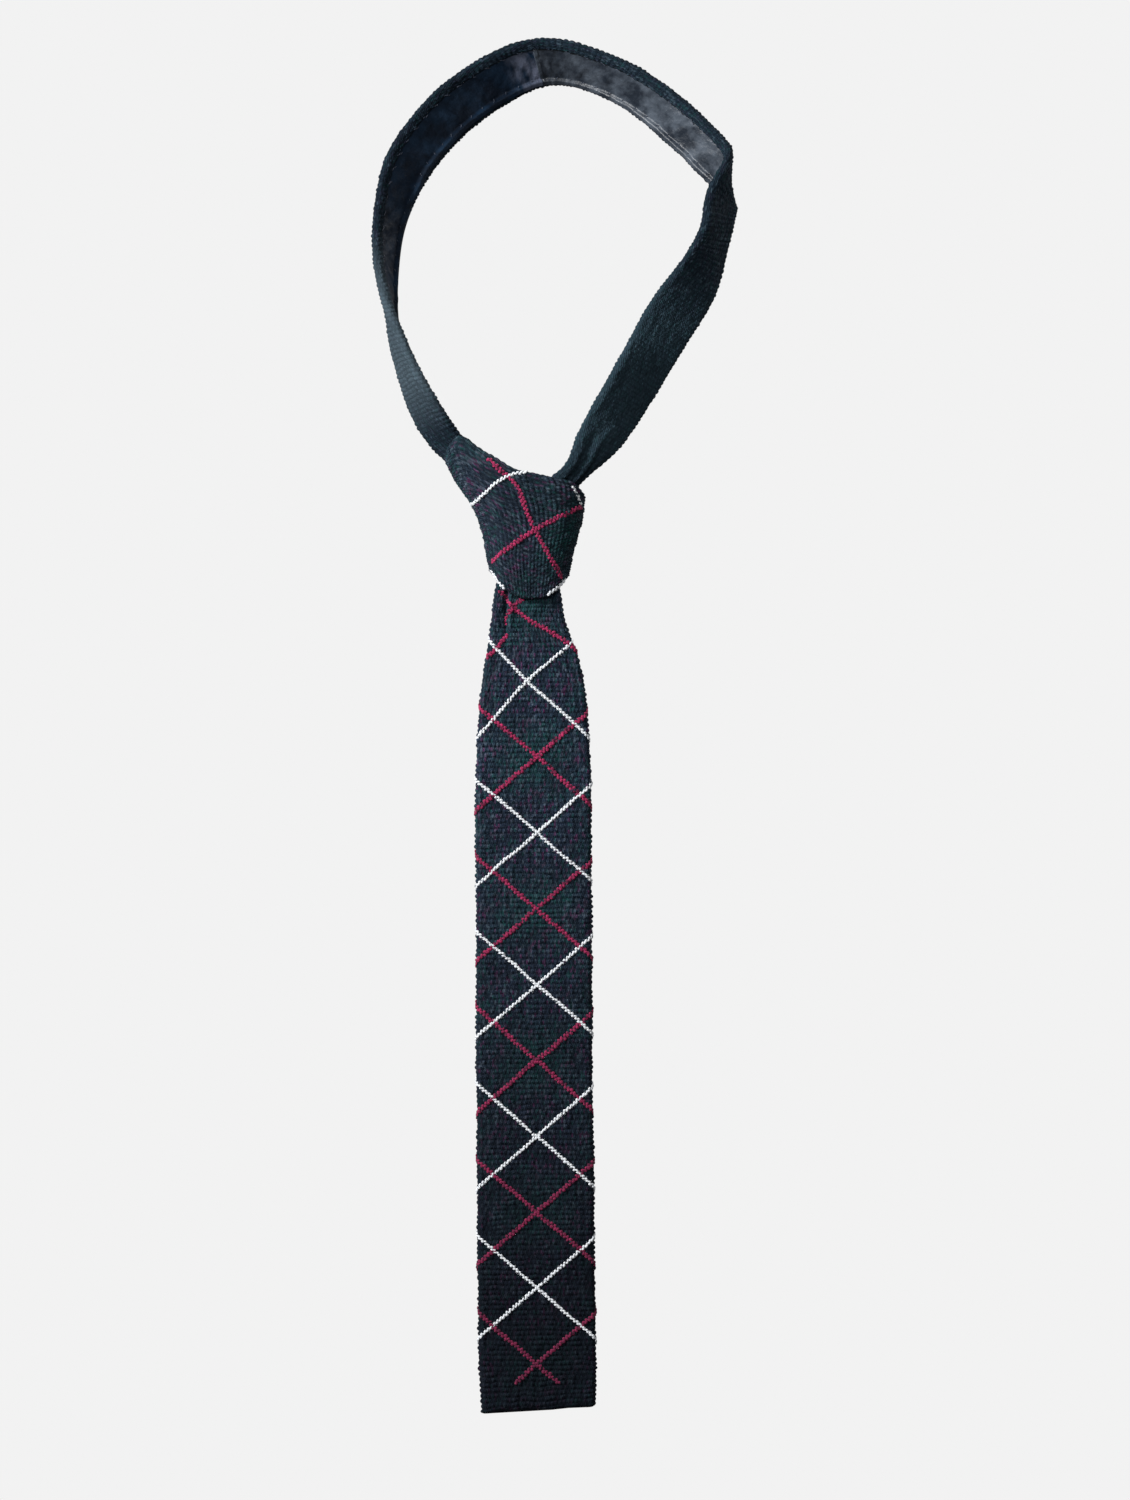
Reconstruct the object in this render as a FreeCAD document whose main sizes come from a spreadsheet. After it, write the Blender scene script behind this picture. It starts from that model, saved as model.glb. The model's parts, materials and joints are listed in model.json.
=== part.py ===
import FreeCAD, Part
import math
import os

import Sketcher

# Knitted necktie, tied in a four-in-hand knot, hanging from the back of its neck loop.
# Millimetres. +X is the right-hand side seen from the front, -Y is the front, +Z is up.
# The origin is at the middle of the band at the back of the neck.
# Bodies: neck_loop (band and the run of tail inside the knot), knot, front_blade and tail.

Vec = FreeCAD.Vector

# Driving sizes, one row per cell: alias, value in millimetres or degrees.
SIZES = [
    ("cloth", 1.6),              # thickness of the knit
    ("lining_cloth", 0.5),       # thickness of the satin
    ("layers", 4.6),             # knit, interlining and turned edge together
    ("turned_edge", 5.0),        # how far the knit is turned in at each edge
    ("band_width", 27.0),
    ("layer_gap", 0.05),         # play between the layers of the neck band
    ("side_gap", 0.1),           # play beside the interlining and the lining
    ("seam_width", 1.2),
    ("seam_height", 0.5),
    ("pass_width", 20.0),        # the tail, bunched inside the knot
    ("pass_layers", 6.0),
    ("pass_top", -222.0),
    ("pass_bottom", -321.7),
    ("tail_plane", -100.0),      # depth of the tail's middle
    ("knot_line", -5.0),         # sideways place of the tail and of the knot's foot
    ("blade_plane", -106.4),     # depth of the front blade's middle
    ("hem_depth", 9.0),
    ("blade_hinge", -262.0),
    ("tail_hinge", -325.0),
    ("knot_wall", 3.6),
    ("knot_slack", 0.8),
    ("knot_mouth", -206.0),      # above this the knot is open behind its front flap
    ("flap_back", -107.8),
    ("core_chamfer", 3.0),
    ("turn_depth", 8.2),         # thickness of the cloth folded inside the knot
    ("back_rim", -208.0),        # the knot's rim stands lower behind than in front
    ("check_rise", 41.0),        # angle of the overcheck lines above the horizontal
    ("check_repeat", 72.5),
    ("first_white_cross", -296.8),
    ("first_red_cross", -333.2),
    ("check_line", -1.5),
    ("white_yarn", 1.8),
    ("red_yarn", 2.3),
    ("yarn_height", 0.4),
    ("yarn_seat", 0.04),         # play under the yarns on the knot
    ("yarn_margin", 0.3),        # the yarns end this far inside the blade's edges
    ("yarn_start", 2.5),         # and this far below its top
    ("keeper_line", -2.0),
    ("keeper_height", 10.0),
    ("keeper_top", -492.0),
    ("keeper_width", 36.0),
    ("keeper_stand", 6.4),
    ("keeper_foot", 4.0),
    ("keeper_cloth", 0.8),
    ("label_width", 24.0),
    ("label_height", 15.0),
    ("label_top", -462.0),
    ("label_cloth", 0.4),
    ("tack_width", 9.0),
    ("tack_height", 1.6),
    ("tack_stand", 0.7),
    ("blade_tack_top", -630.0),
    ("tail_tack_top", -438.0),
    ("foot_tack_width", 2.8),
    ("foot_tack_height", 0.8),
    ("foot_tack_stand", 0.4),
    ("stitch_length", 2.2),
    ("stitch_gap", 9.0),
    ("stitch_size", 0.4),
]

# Cross sections of the hanging cloth, top to bottom: name, height, sideways place, width.
BLADE_SECTIONS = [
    ("throat", -264.6, -5.7, 32.0),
    ("neckline", -276.0, -5.0, 40.5),
    ("shoulder", -291.0, -3.8, 47.5),
    ("waist", -315.0, -3.4, 52.6),
    ("full", -345.0, -3.0, 55.2),
    ("hem", -645.0, -1.0, 56.0),
]
TAIL_SECTIONS = [
    ("throat", -327.8, -5.0, 21.0),
    ("neckline", -337.0, -5.0, 26.0),
    ("shoulder", -350.0, -5.0, 32.0),
    ("full", -368.0, -5.0, 36.0),
    ("hem", -456.0, -5.0, 38.0),
]

# The neck band: its centre, and how far the upper edge stands from the lower edge seen from the
# front (sideways and up). The rest of the band's width lies in depth, upper edge to the front.
# Where the band is gathered, its width and its thickness there follow.
LEFT_LEG = [
    (-42.5, -100.0, -184.8, 13.5, 6.5, 16.0, 4.8),
    (-50.5, -96.8, -174.3, 13.0, 5.5, 22.0, 4.6),
    (-56.3, -92.0, -164.0, 11.0, 4.5),
    (-62.0, -86.5, -151.0, 7.0, 3.5),
    (-67.5, -80.0, -136.0, 4.0, 2.0),
    (-71.5, -72.5, -120.0, -1.0, 0.5),
    (-73.8, -62.0, -97.0, -9.0, -1.0),
    (-72.7, -53.0, -80.0, -13.5, 0.0),
    (-68.6, -44.0, -63.5, -18.6, 3.0),
    (-63.0, -35.0, -49.5, -21.5, 7.5),
    (-55.5, -25.5, -38.0, -20.5, 13.0),
    (-46.0, -17.0, -27.0, -19.0, 16.5),
    (-33.0, -8.0, -16.0, -17.0, 18.5),
    (-17.0, -1.5, -6.0, -12.0, 21.5),
    (-1.0, 1.8, 0.0, -6.0, 22.5),
]
RIGHT_LEG = [
    (-1.0, 1.8, 0.0, -6.0, 22.5),
    (12.0, 1.8, 0.0, -1.5, 21.5),
    (25.0, -0.5, -3.5, 6.0, 18.5),
    (38.0, -4.5, -9.0, 8.5, 17.5),
    (54.5, -12.5, -19.5, 10.5, 16.5),
    (68.0, -22.0, -31.0, 11.5, 17.0),
    (76.5, -29.5, -39.0, 13.0, 16.0),
    (83.0, -35.5, -46.0, 12.5, 16.0),
    (88.4, -41.0, -53.0, 5.0, 18.0),
    (89.0, -45.0, -60.0, -5.0, 16.5),
    (87.0, -48.5, -66.5, -12.0, 9.5),
    (85.3, -53.0, -76.0, -13.0, 2.0),
    (81.7, -58.5, -88.0, -15.2, 3.0),
    (75.0, -67.0, -104.0, -19.0, 11.0),
    (63.5, -76.0, -122.0, -22.0, 13.0),
    (51.0, -85.5, -144.0, -21.0, 12.0),
    (38.0, -94.0, -166.0, -20.0, 11.5),
]
# Below the right leg the band is gathered as it enters the knot.
GATHER = [
    (26.0, -100.0, -184.8, -17.0, 7.5, 20.0, 5.2),
    (17.0, -101.0, -196.5, -9.5, 5.0, 14.2, 6.0),
    (7.0, -100.5, -205.0, -13.0, 3.5, 14.8, 6.0),
    (-3.5, -99.8, -213.0, -18.0, 0.5, 18.1, 6.0),
    (-5.0, -100.0, -222.0, -20.0, 0.0, 20.0, 6.0),
]

GATHERED_TURN = 0.24
STATIONS_PER_FACE = 2

# The knot's outer shape, bottom to top: height, left side, right side, front depth, back depth.
KNOT_LEVELS = [
    (-257.0, -20.5, 10.5, 14.0, 8.6),
    (-240.0, -25.0, 16.5, 15.6, 9.2),
    (-214.0, -33.5, 21.0, 17.4, 10.0),
    (-205.0, -39.0, 20.5, 17.6, 10.0),
]
FLAP_LEVELS = [
    (-190.0, -45.0, -18.0, 13.5, 8.0),
    (-182.0, -43.0, -33.0, 11.5, 6.0),
]
# Room cleared for the band behind the flap: width, depth, height.
MOUTH_BOX = (160.0, 40.0, 60.0)
# Squareness of the knot's rounded outline: 1 is an ellipse, smaller is squarer.
KNOT_SQUARENESS = 0.62
OUTLINE_STEPS = 12

# The blade's cloth inside the knot: height, width, depth.
BLADE_PASS_LEVELS = [(-259.4, 22.0, 5.8), (-240.0, 24.0, 7.6), (-219.0, 28.0, 7.6)]
# The cloth folded behind the flap: height, width.
INNER_TURN_LEVELS = [(-226.0, 6.0), (-212.0, 10.0), (-199.0, 15.0)]

# Half the length of a line on the blade, seen sideways, before it is trimmed.
CHECK_REACH = 40.0
# The knot's front face lies between these depths in front of the tail's middle.
KNOT_FACE_REACH = (22.0, 4.0)
# Overcheck lines on the knot's front, each a run of points (sideways, up).
KNOT_WHITE = [
    [(-31.0, -212.0), (-26.0, -207.0), (-13.0, -199.0)],
    [(-22.5, -243.0), (-17.0, -252.5)],
    [(3.8, -254.5), (12.0, -247.0)],
    [(16.5, -206.0), (19.5, -212.0)],
]
KNOT_RED = [
    [(-24.0, -194.0), (-12.4, -202.0), (-2.4, -224.7), (9.5, -246.0)],
    [(-21.5, -239.5), (-2.4, -224.7), (18.0, -215.0)],
]


def make_sheet(doc):
    """Put every driving size in the spreadsheet, with its alias."""
    sheet = doc.addObject("Spreadsheet::Sheet", "sizes")
    rows = list(SIZES)
    for owner, sections in (("blade", BLADE_SECTIONS), ("tail", TAIL_SECTIONS)):
        for name, height, place, width in sections:
            rows.append((f"{owner}_{name}_height", height))
            rows.append((f"{owner}_{name}_place", place))
            rows.append((f"{owner}_{name}_width", width))
    for number, (alias, value) in enumerate(rows, start=1):
        sheet.set(f"A{number}", alias)
        sheet.set(f"B{number}", str(value))
        sheet.setAlias(f"B{number}", alias)
    doc.recompute()
    return sheet


class Sizes:
    """Read a cell of the spreadsheet by its alias, as a plain number."""

    def __init__(self, sheet):
        self.sheet = sheet

    def __getattr__(self, alias):
        return float(self.sheet.get(alias))


# ---------------------------------------------------------------- PartDesign helpers

def new_body(doc, label):
    body = doc.addObject("PartDesign::Body", label)
    body.Label = label
    return body


def origin_plane(body, role):
    return next(item for item in body.Origin.OriginFeatures if item.Role == role)


def cell(text):
    """Turn aliases written as {alias} into references to the spreadsheet."""
    return text.replace("{", "sizes.").replace("}", "")


def polygon_sketch(body, name, height, corners):
    """A closed polygon level with the ground, every corner bound to the spreadsheet."""
    sketch = body.newObject("Sketcher::SketchObject", name)
    sketch.AttachmentSupport = [(origin_plane(body, "XY_Plane"), "")]
    sketch.MapMode = "FlatFace"
    sketch.setExpression(".AttachmentOffset.Base.z", cell(height))
    count = len(corners)
    start = rough_polygon(count)
    for number in range(count):
        line = Part.LineSegment(start[number], start[(number + 1) % count])
        sketch.addGeometry(line, False)
    for number in range(count):
        following = (number + 1) % count
        sketch.addConstraint(Sketcher.Constraint("Coincident", number, 2, following, 1))
    for number, corner in enumerate(corners):
        for kind, text, value in (("DistanceX", corner[0], start[number].x),
                                  ("DistanceY", corner[1], start[number].y)):
            index = sketch.addConstraint(Sketcher.Constraint(kind, -1, 1, number, 1, value))
            sketch.setExpression(f"Constraints[{index}]", cell(text))
    return sketch


def rough_polygon(count):
    """Corners of a plain round polygon, which the constraints then pull into shape."""
    turns = [2 * math.pi * number / count for number in range(count)]
    return [Vec(20 * math.cos(turn) + 1, 20 * math.sin(turn) + 1, 0) for turn in turns]


def pad(body, sketch, name, length, downward=False):
    feature = body.newObject("PartDesign::Pad", name)
    feature.Profile = sketch
    feature.setExpression("Length", cell(length))
    feature.Reversed = downward
    return feature


def loft(body, sketches, name):
    feature = body.newObject("PartDesign::AdditiveLoft", name)
    feature.Profile = sketches[0]
    feature.Sections = sketches[1:]
    feature.Ruled = len(sketches) == 2
    return feature


def add_feature(doc, label, shape, placement=None):
    feature = doc.addObject("Part::Feature", label)
    feature.Label = label
    feature.Shape = shape
    feature.Placement = placement or FreeCAD.Placement()
    return feature


# ---------------------------------------------------------------- hanging cloth: blade and tail

def shell_corners(place, width, plane, layers):
    """The knit seen from above: one front layer, its edges turned round to the back."""
    half = f"{width} / 2"
    front = f"{plane} - {layers} / 2"
    back = f"{plane} + {layers} / 2"
    rows = [(-1, half, front), (1, half, front), (1, half, back),
            (1, half + " - {turned_edge}", back),
            (1, half + " - {turned_edge}", back + " - {cloth}"),
            (1, half + " - {cloth}", back + " - {cloth}"),
            (1, half + " - {cloth}", front + " + {cloth}"),
            (-1, half + " - {cloth}", front + " + {cloth}"),
            (-1, half + " - {cloth}", back + " - {cloth}"),
            (-1, half + " - {turned_edge}", back + " - {cloth}"),
            (-1, half + " - {turned_edge}", back),
            (-1, half, back)]
    return [(f"{place} + {side} * ({across})", depth) for side, across, depth in rows]


def flat_corners(place, half, front, back):
    """A plain rectangle seen from above."""
    left = f"{place} - ({half})"
    right = f"{place} + ({half})"
    return [(left, front), (right, front), (right, back), (left, back)]


def interlining_corners(place, width, plane, layers):
    front = f"{plane} - {layers} / 2 + {{cloth}}"
    back = f"{plane} + {layers} / 2 - {{cloth}}"
    return flat_corners(place, f"{width} / 2 - {{cloth}} - {{side_gap}}", front, back)


def lining_corners(place, width, plane, layers):
    inner = f"{plane} + {layers} / 2 - {{cloth}}"
    outer = f"{inner} + {{lining_cloth}}"
    return flat_corners(place, f"{width} / 2 - {{turned_edge}} - {{side_gap}}", inner, outer)


def hanging_layer(doc, label, owner, sections, corners, rise):
    """One layer of the blade or the tail: a smooth shoulder, then a straight run to the hem."""
    body = new_body(doc, label)
    plane = f"{{{owner}_plane}}"
    sketches = []
    for name, *_ in sections:
        alias = f"{owner}_{name}"
        lift = f" + {rise}" if name == "hem" else ""
        outline = corners(f"{{{alias}_place}}", f"{{{alias}_width}}", plane, "{layers}")
        sketches.append(polygon_sketch(body, f"{label}_{name}", f"{{{alias}_height}}{lift}", outline))
    loft(body, sketches[:-1], f"{label}_shoulder")
    loft(body, sketches[-2:], f"{label}_run")
    return body


def hem(body, owner):
    """Close the bottom of a knit shell and turn the hem up behind."""
    label = body.Label
    place = f"{{{owner}_hem_place}}"
    half = f"{{{owner}_hem_width}} / 2"
    front = f"{{{owner}_plane}} - {{layers}} / 2"
    back = f"{{{owner}_plane}} + {{layers}} / 2"
    height = f"{{{owner}_hem_height}}"
    fold = polygon_sketch(body, f"{label}_fold", height, flat_corners(place, half, front, back))
    pad(body, fold, f"{label}_hem_fold", "{cloth}")
    turn = flat_corners(place, half, back + " - {cloth}", back)
    turn = polygon_sketch(body, f"{label}_turn", height, turn)
    pad(body, turn, f"{label}_hem_turn", "{hem_depth}")


def make_hanging_cloth(doc, owner, sections):
    shell = hanging_layer(doc, f"{owner}_knit_shell", owner, sections, shell_corners, "0")
    hem(shell, owner)
    hanging_layer(doc, f"{owner}_interlining", owner, sections, interlining_corners, "{cloth}")
    hanging_layer(doc, f"{owner}_lining", owner, sections, lining_corners, "{hem_depth}")


def make_tail_pass(doc):
    """The straight run of tail that the knot slides on, in its three layers."""
    for label, corners in (("tail_pass_knit_shell", shell_corners),
                           ("tail_pass_interlining", interlining_corners),
                           ("tail_pass_lining", lining_corners)):
        body = new_body(doc, label)
        outline = corners("{knot_line}", "{pass_width}", "{tail_plane}", "{pass_layers}")
        sketch = polygon_sketch(body, f"{label}_section", "{pass_top}", outline)
        pad(body, sketch, f"{label}_run", "{pass_top} - {pass_bottom}", downward=True)


# ---------------------------------------------------------------- neck band

def band_frames(stations, size):
    """Centre, width direction, outward direction, width and thickness at each station."""
    centres = [Vec(*station[:3]) for station in stations]
    frames = []
    for number, station in enumerate(stations):
        before = centres[max(number - 1, 0)]
        after = centres[min(number + 1, len(centres) - 1)]
        width, layers = station[5:] if len(station) > 5 else (size.band_width, size.layers)
        seen = Vec(station[3], 0, station[4])
        depth = math.sqrt(max(width ** 2 - seen.Length ** 2, 0.0))
        across = Vec(station[3], -depth, station[4]).normalize()
        outward = across.cross(after - before).normalize()
        frames.append((centres[number], across, outward, width, layers))
    return frames


def band_layer(frames, profile):
    """A solid that runs through the frames; profile gives its corners for a width and thickness."""
    steps = [0.0]
    for first, second in zip(frames, frames[1:]):
        steps.append(steps[-1] + (second[0] - first[0]).Length)
    sections = []
    for centre, across, outward, width, layers in frames:
        corners = profile(width, layers)
        sections.append([centre + across * u + outward * v for u, v in corners])
    curves = [smooth_curve([section[number] for section in sections], steps)
              for number in range(len(sections[0]))]
    faces = []
    for start, finish in face_spans(steps):
        edges = [curve.toShape(start, finish) for curve in curves]
        for number, edge in enumerate(edges):
            faces.append(Part.makeRuledSurface(edge, edges[(number + 1) % len(edges)], 1))
    for section in (sections[0], sections[-1]):
        faces.append(end_cap(section))
    return sewn_solid(faces)


def smooth_curve(points, steps):
    curve = Part.BSplineCurve()
    curve.interpolate(Points=points, Parameters=steps)
    return curve


def face_spans(steps):
    """The stretches of a band that each become one row of faces."""
    breaks = steps[:-1:STATIONS_PER_FACE] + [steps[-1]]
    return list(zip(breaks, breaks[1:]))


def end_cap(points):
    return Part.Face(Part.makePolygon(points + points[:1]))


def sewn_solid(faces):
    shell = Part.makeShell(faces)
    shell.sewShape()
    solid = Part.Solid(shell.Shells[0] if shell.Shells else shell)
    if solid.Volume < 0:
        solid.reverse()
    return solid


def shell_profile(size):
    """Corners of the turned knit: across the band, and outwards from its middle."""
    def profile(width, layers):
        half = width / 2
        out = layers / 2
        knit = size.cloth
        turn = turned_width(size, width)
        right = [(half, out), (half, -out), (half - turn, -out), (half - turn, knit - out),
                 (half - knit, knit - out), (half - knit, out - knit)]
        left = [(-across, depth) for across, depth in reversed(right)]
        return right + left
    return profile


def slab_profile(margin, inner, outer):
    """Corners of a flat layer; margin, inner and outer are functions of width and thickness."""
    def profile(width, layers):
        half = width / 2 - margin(width)
        low = inner(layers)
        high = outer(layers)
        return [(half, high), (half, low), (-half, low), (-half, high)]
    return profile


def turned_width(size, width):
    """The turned edge takes at most this share of a gathered band's width."""
    return min(size.turned_edge, GATHERED_TURN * width)


def neck_frames(size):
    """Frames of the left and of the right half, which share the one at the back seam."""
    frames = band_frames(LEFT_LEG + RIGHT_LEG[1:] + GATHER, size)
    seam = len(LEFT_LEG) - 1
    return frames[:seam + 1], frames[seam:]


def make_neck_band(doc, size):
    knit = shell_profile(size)
    interlining = slab_profile(lambda width: size.cloth + size.side_gap,
                               lambda layers: size.cloth + size.layer_gap - layers / 2,
                               lambda layers: layers / 2 - size.cloth - size.layer_gap)
    lining = slab_profile(lambda width: turned_width(size, width) + size.side_gap,
                          lambda layers: size.cloth - size.lining_cloth - layers / 2,
                          lambda layers: size.cloth - layers / 2)
    for side, frames in zip(("left", "right"), neck_frames(size)):
        add_feature(doc, f"neck_knit_shell_{side}", band_layer(frames, knit))
        add_feature(doc, f"neck_interlining_{side}", band_layer(frames, interlining))
        add_feature(doc, f"neck_lining_{side}", band_layer(frames, lining))


def make_back_seam(doc, size):
    """The ridge of the cross seam at the back of the neck, on the lining's face."""
    centre, across, outward, width, layers = neck_frames(size)[1][0]
    length = width - 2 * size.turned_edge - 1
    corner = Vec(-size.seam_width / 2, -size.seam_height, -length / 2)
    ridge = Part.makeBox(size.seam_width, size.seam_height, length, corner)
    along = outward.cross(across)
    turn = FreeCAD.Rotation(along, outward, across, "ZXY")
    lift = size.cloth - size.lining_cloth - size.layer_gap - layers / 2
    add_feature(doc, "neck_back_seam", ridge, FreeCAD.Placement(centre + outward * lift, turn))


# ---------------------------------------------------------------- knot

def wrap_curve(height, left, right, depth, toward, middle):
    """Half of a rounded outline seen from above, from its left side round to its right side."""
    centre = (left + right) / 2
    half = (right - left) / 2
    points = []
    for number in range(OUTLINE_STEPS + 1):
        turn = math.pi * number / OUTLINE_STEPS
        across = math.cos(turn)
        reach = math.sin(turn) if 0 < number < OUTLINE_STEPS else 0.0
        x = centre - half * math.copysign(abs(across) ** KNOT_SQUARENESS, across)
        points.append(Vec(x, middle + toward * depth * reach ** KNOT_SQUARENESS, height))
    curve = Part.BSplineCurve()
    curve.interpolate(points)
    return curve.toShape()


def wrap_wire(level, toward, middle, wall, grow=0.0):
    """One level of a wrap: a shell of the given wall, or filled when wall is 0."""
    height, left, right, front, back = level
    depth = (front if toward < 0 else back) + grow
    outer = wrap_curve(height, left - grow, right + grow, depth, toward, middle)
    if wall == 0:
        first, last = outer.Vertexes[0].Point, outer.Vertexes[-1].Point
        return Part.Wire([outer, Part.makeLine(last, first)])
    inner = wrap_curve(height, left + wall, right - wall, depth - wall, toward, middle)
    start = Part.makeLine(inner.Vertexes[0].Point, outer.Vertexes[0].Point)
    finish = Part.makeLine(outer.Vertexes[-1].Point, inner.Vertexes[-1].Point)
    return Part.Wire([start, outer, finish, inner])


def wrap_solid(levels, toward, middle, wall, grow=0.0):
    wires = [wrap_wire(level, toward, middle, wall, grow) for level in levels]
    return Part.makeLoft(wires, True, False)


def line_prism(start, finish, width, near, far):
    """A straight band seen from the front, between two depths."""
    along = Vec(finish[0] - start[0], 0, finish[1] - start[1])
    length = along.Length
    box = Part.makeBox(length + width, far - near, width, Vec(-width / 2, 0, -width / 2))
    angle = math.degrees(math.atan2(along.z, along.x))
    turn = FreeCAD.Rotation(Vec(0, 1, 0), -angle)
    box.Placement = FreeCAD.Placement(Vec(start[0], near, start[1]), turn)
    return box


def joined_lines(runs, width, near, far):
    prisms = []
    for run in runs:
        for start, finish in zip(run, run[1:]):
            prisms.append(line_prism(start, finish, width, near, far))
    return prisms[0].multiFuse(prisms[1:])


def make_knot(doc, size):
    middle = size.tail_plane
    levels = KNOT_LEVELS + FLAP_LEVELS
    width, depth, height = MOUTH_BOX
    mouth = Part.makeBox(width, depth, height, Vec(-width / 2, size.flap_back, size.knot_mouth))
    front = wrap_solid(levels, -1, middle, size.knot_wall).cut(mouth)
    add_feature(doc, "knot_front_wrap", solids_only(front))
    above = Part.makeBox(width, depth, height, Vec(-width / 2, middle - depth / 2, size.back_rim))
    back = wrap_solid(KNOT_LEVELS, 1, middle, size.knot_wall).cut(above)
    add_feature(doc, "knot_back_wrap", solids_only(back))
    filled = wrap_solid(levels, -1, middle, 0, size.yarn_seat)
    proud = wrap_solid(levels, -1, middle, 0, size.yarn_height)
    skin = proud.cut(filled)
    near = middle - KNOT_FACE_REACH[0]
    far = middle - KNOT_FACE_REACH[1]
    white = skin.common(joined_lines(KNOT_WHITE, size.white_yarn, near, far))
    red = skin.common(joined_lines(KNOT_RED, size.red_yarn, near, far)).cut(white)
    add_feature(doc, "knot_white_yarns", solids_only(white))
    add_feature(doc, "knot_red_yarns", solids_only(red))


def solids_only(shape):
    return Part.makeCompound(shape.Solids)


def make_knot_core(doc, size):
    """The two folded runs of cloth inside the wraps."""
    front = size.tail_plane - size.pass_layers / 2 - size.knot_slack
    chamfer = size.core_chamfer
    wires = []
    for height, width, depth in BLADE_PASS_LEVELS:
        left = size.knot_line - width / 2
        right = left + width
        corners = [Vec(left, front, height), Vec(right, front, height),
                   Vec(right - chamfer, front - depth, height), Vec(left + chamfer, front - depth, height)]
        wires.append(Part.makePolygon(corners + corners[:1]))
    add_feature(doc, "blade_pass", Part.makeLoft(wires, True, True))
    edge = size.knot_line - size.pass_width / 2 - size.knot_slack
    near = front + size.knot_slack / 2
    far = near + size.turn_depth
    wires = []
    for height, width in INNER_TURN_LEVELS:
        corners = [Vec(edge - width, near, height), Vec(edge, near, height),
                   Vec(edge, far, height), Vec(edge - width + 1, far, height)]
        wires.append(Part.makePolygon(corners + corners[:1]))
    add_feature(doc, "knot_inner_turn", Part.makeLoft(wires, True, True))


# ---------------------------------------------------------------- overcheck lines on the blade

def blade_face(size):
    """The blade's front outline as a thin slab that the yarns are trimmed to."""
    left = []
    right = []
    for _, height, place, width in BLADE_SECTIONS:
        left.append(Vec(place - width / 2 + size.yarn_margin, 0, height))
        right.append(Vec(place + width / 2 - size.yarn_margin, 0, height))
    for side in (left, right):
        side[0].z -= size.yarn_start
        side[-1].z += size.hem_depth
    outline = Part.Face(Part.makePolygon(left + right[::-1] + left[:1]))
    front = size.blade_plane - size.layers / 2
    outline.translate(Vec(0, front, 0))
    return outline.extrude(Vec(0, -size.yarn_height, 0))


def overcheck(size, first_cross, width):
    """Crossed lines, one pair in every repeat of the check, trimmed to the blade."""
    near = size.blade_plane - size.layers / 2 - 1
    reach = CHECK_REACH
    rise = reach * math.tan(math.radians(size.check_rise))
    bottom = BLADE_SECTIONS[-1][1]
    runs = []
    cross = first_cross
    while cross > bottom:
        for side in (-1, 1):
            start = (size.check_line - reach, cross - side * rise)
            finish = (size.check_line + reach, cross + side * rise)
            runs.append([start, finish])
        cross -= size.check_repeat
    return joined_lines(runs, width, near, near + 2)


def make_overcheck(doc, size):
    face = blade_face(size)
    white = face.common(overcheck(size, size.first_white_cross, size.white_yarn))
    red_first = size.first_red_cross + size.check_repeat
    red = face.common(overcheck(size, red_first, size.red_yarn)).cut(white)
    add_feature(doc, "blade_white_yarns", solids_only(white))
    add_feature(doc, "blade_red_yarns", solids_only(red))


# ---------------------------------------------------------------- trim on the back

def make_keeper(doc):
    """The loop on the blade's back: two feet on the lining, and a strap that stands off."""
    body = new_body(doc, "keeper_loop")
    base = "{blade_plane} + {layers} / 2 - {cloth} + {lining_cloth}"
    top = base + " + {keeper_stand}"
    half = "{keeper_width} / 2"
    foot = half + " + {keeper_foot}"
    rows = [(-1, foot, base), (-1, half + " - {keeper_cloth}", base),
            (-1, half + " - {keeper_cloth}", top + " - {keeper_cloth}"),
            (1, half + " - {keeper_cloth}", top + " - {keeper_cloth}"),
            (1, half + " - {keeper_cloth}", base), (1, foot, base),
            (1, foot, base + " + {keeper_cloth}"), (1, half, base + " + {keeper_cloth}"),
            (1, half, top), (-1, half, top),
            (-1, half, base + " + {keeper_cloth}"), (-1, foot, base + " + {keeper_cloth}")]
    outline = [(f"{{keeper_line}} + {side} * ({across})", depth) for side, across, depth in rows]
    sketch = polygon_sketch(body, "keeper_outline", "{keeper_top}", outline)
    pad(body, sketch, "keeper_strap", "{keeper_height}", downward=True)


def make_label(doc):
    """A plain woven label with nothing on it."""
    body = new_body(doc, "blank_label")
    base = "{blade_plane} + {layers} / 2 - {cloth} + {lining_cloth}"
    outline = flat_corners("{keeper_line}", "{label_width} / 2", base, base + " + {label_cloth}")
    sketch = polygon_sketch(body, "label_outline", "{label_top}", outline)
    pad(body, sketch, "label_cloth", "{label_height}", downward=True)


def make_bar_tack(doc, label, place, owner, height):
    """A bar of close stitches across the lining."""
    body = new_body(doc, label)
    base = f"{{{owner}_plane}} + {{layers}} / 2 - {{cloth}} + {{lining_cloth}}"
    outline = flat_corners(place, "{tack_width} / 2", base, base + " + {tack_stand}")
    sketch = polygon_sketch(body, f"{label}_outline", height, outline)
    pad(body, sketch, f"{label}_bar", "{tack_height}", downward=True)


def make_keeper_tacks(doc, size):
    """Four short bars that fasten the keeper's feet, two on each foot."""
    base = size.blade_plane + size.layers / 2 - size.cloth + size.lining_cloth + size.keeper_cloth
    width, height = size.foot_tack_width, size.foot_tack_height
    reach = size.keeper_width / 2 + size.keeper_foot / 2
    bars = []
    for side in (-1, 1):
        for drop in (2 * height, size.keeper_height - height):
            corner = Vec(size.keeper_line + side * reach - width / 2, base, size.keeper_top - drop)
            bars.append(Part.makeBox(width, size.foot_tack_stand, height, corner))
    add_feature(doc, "keeper_tacks", Part.makeCompound(bars))


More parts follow.
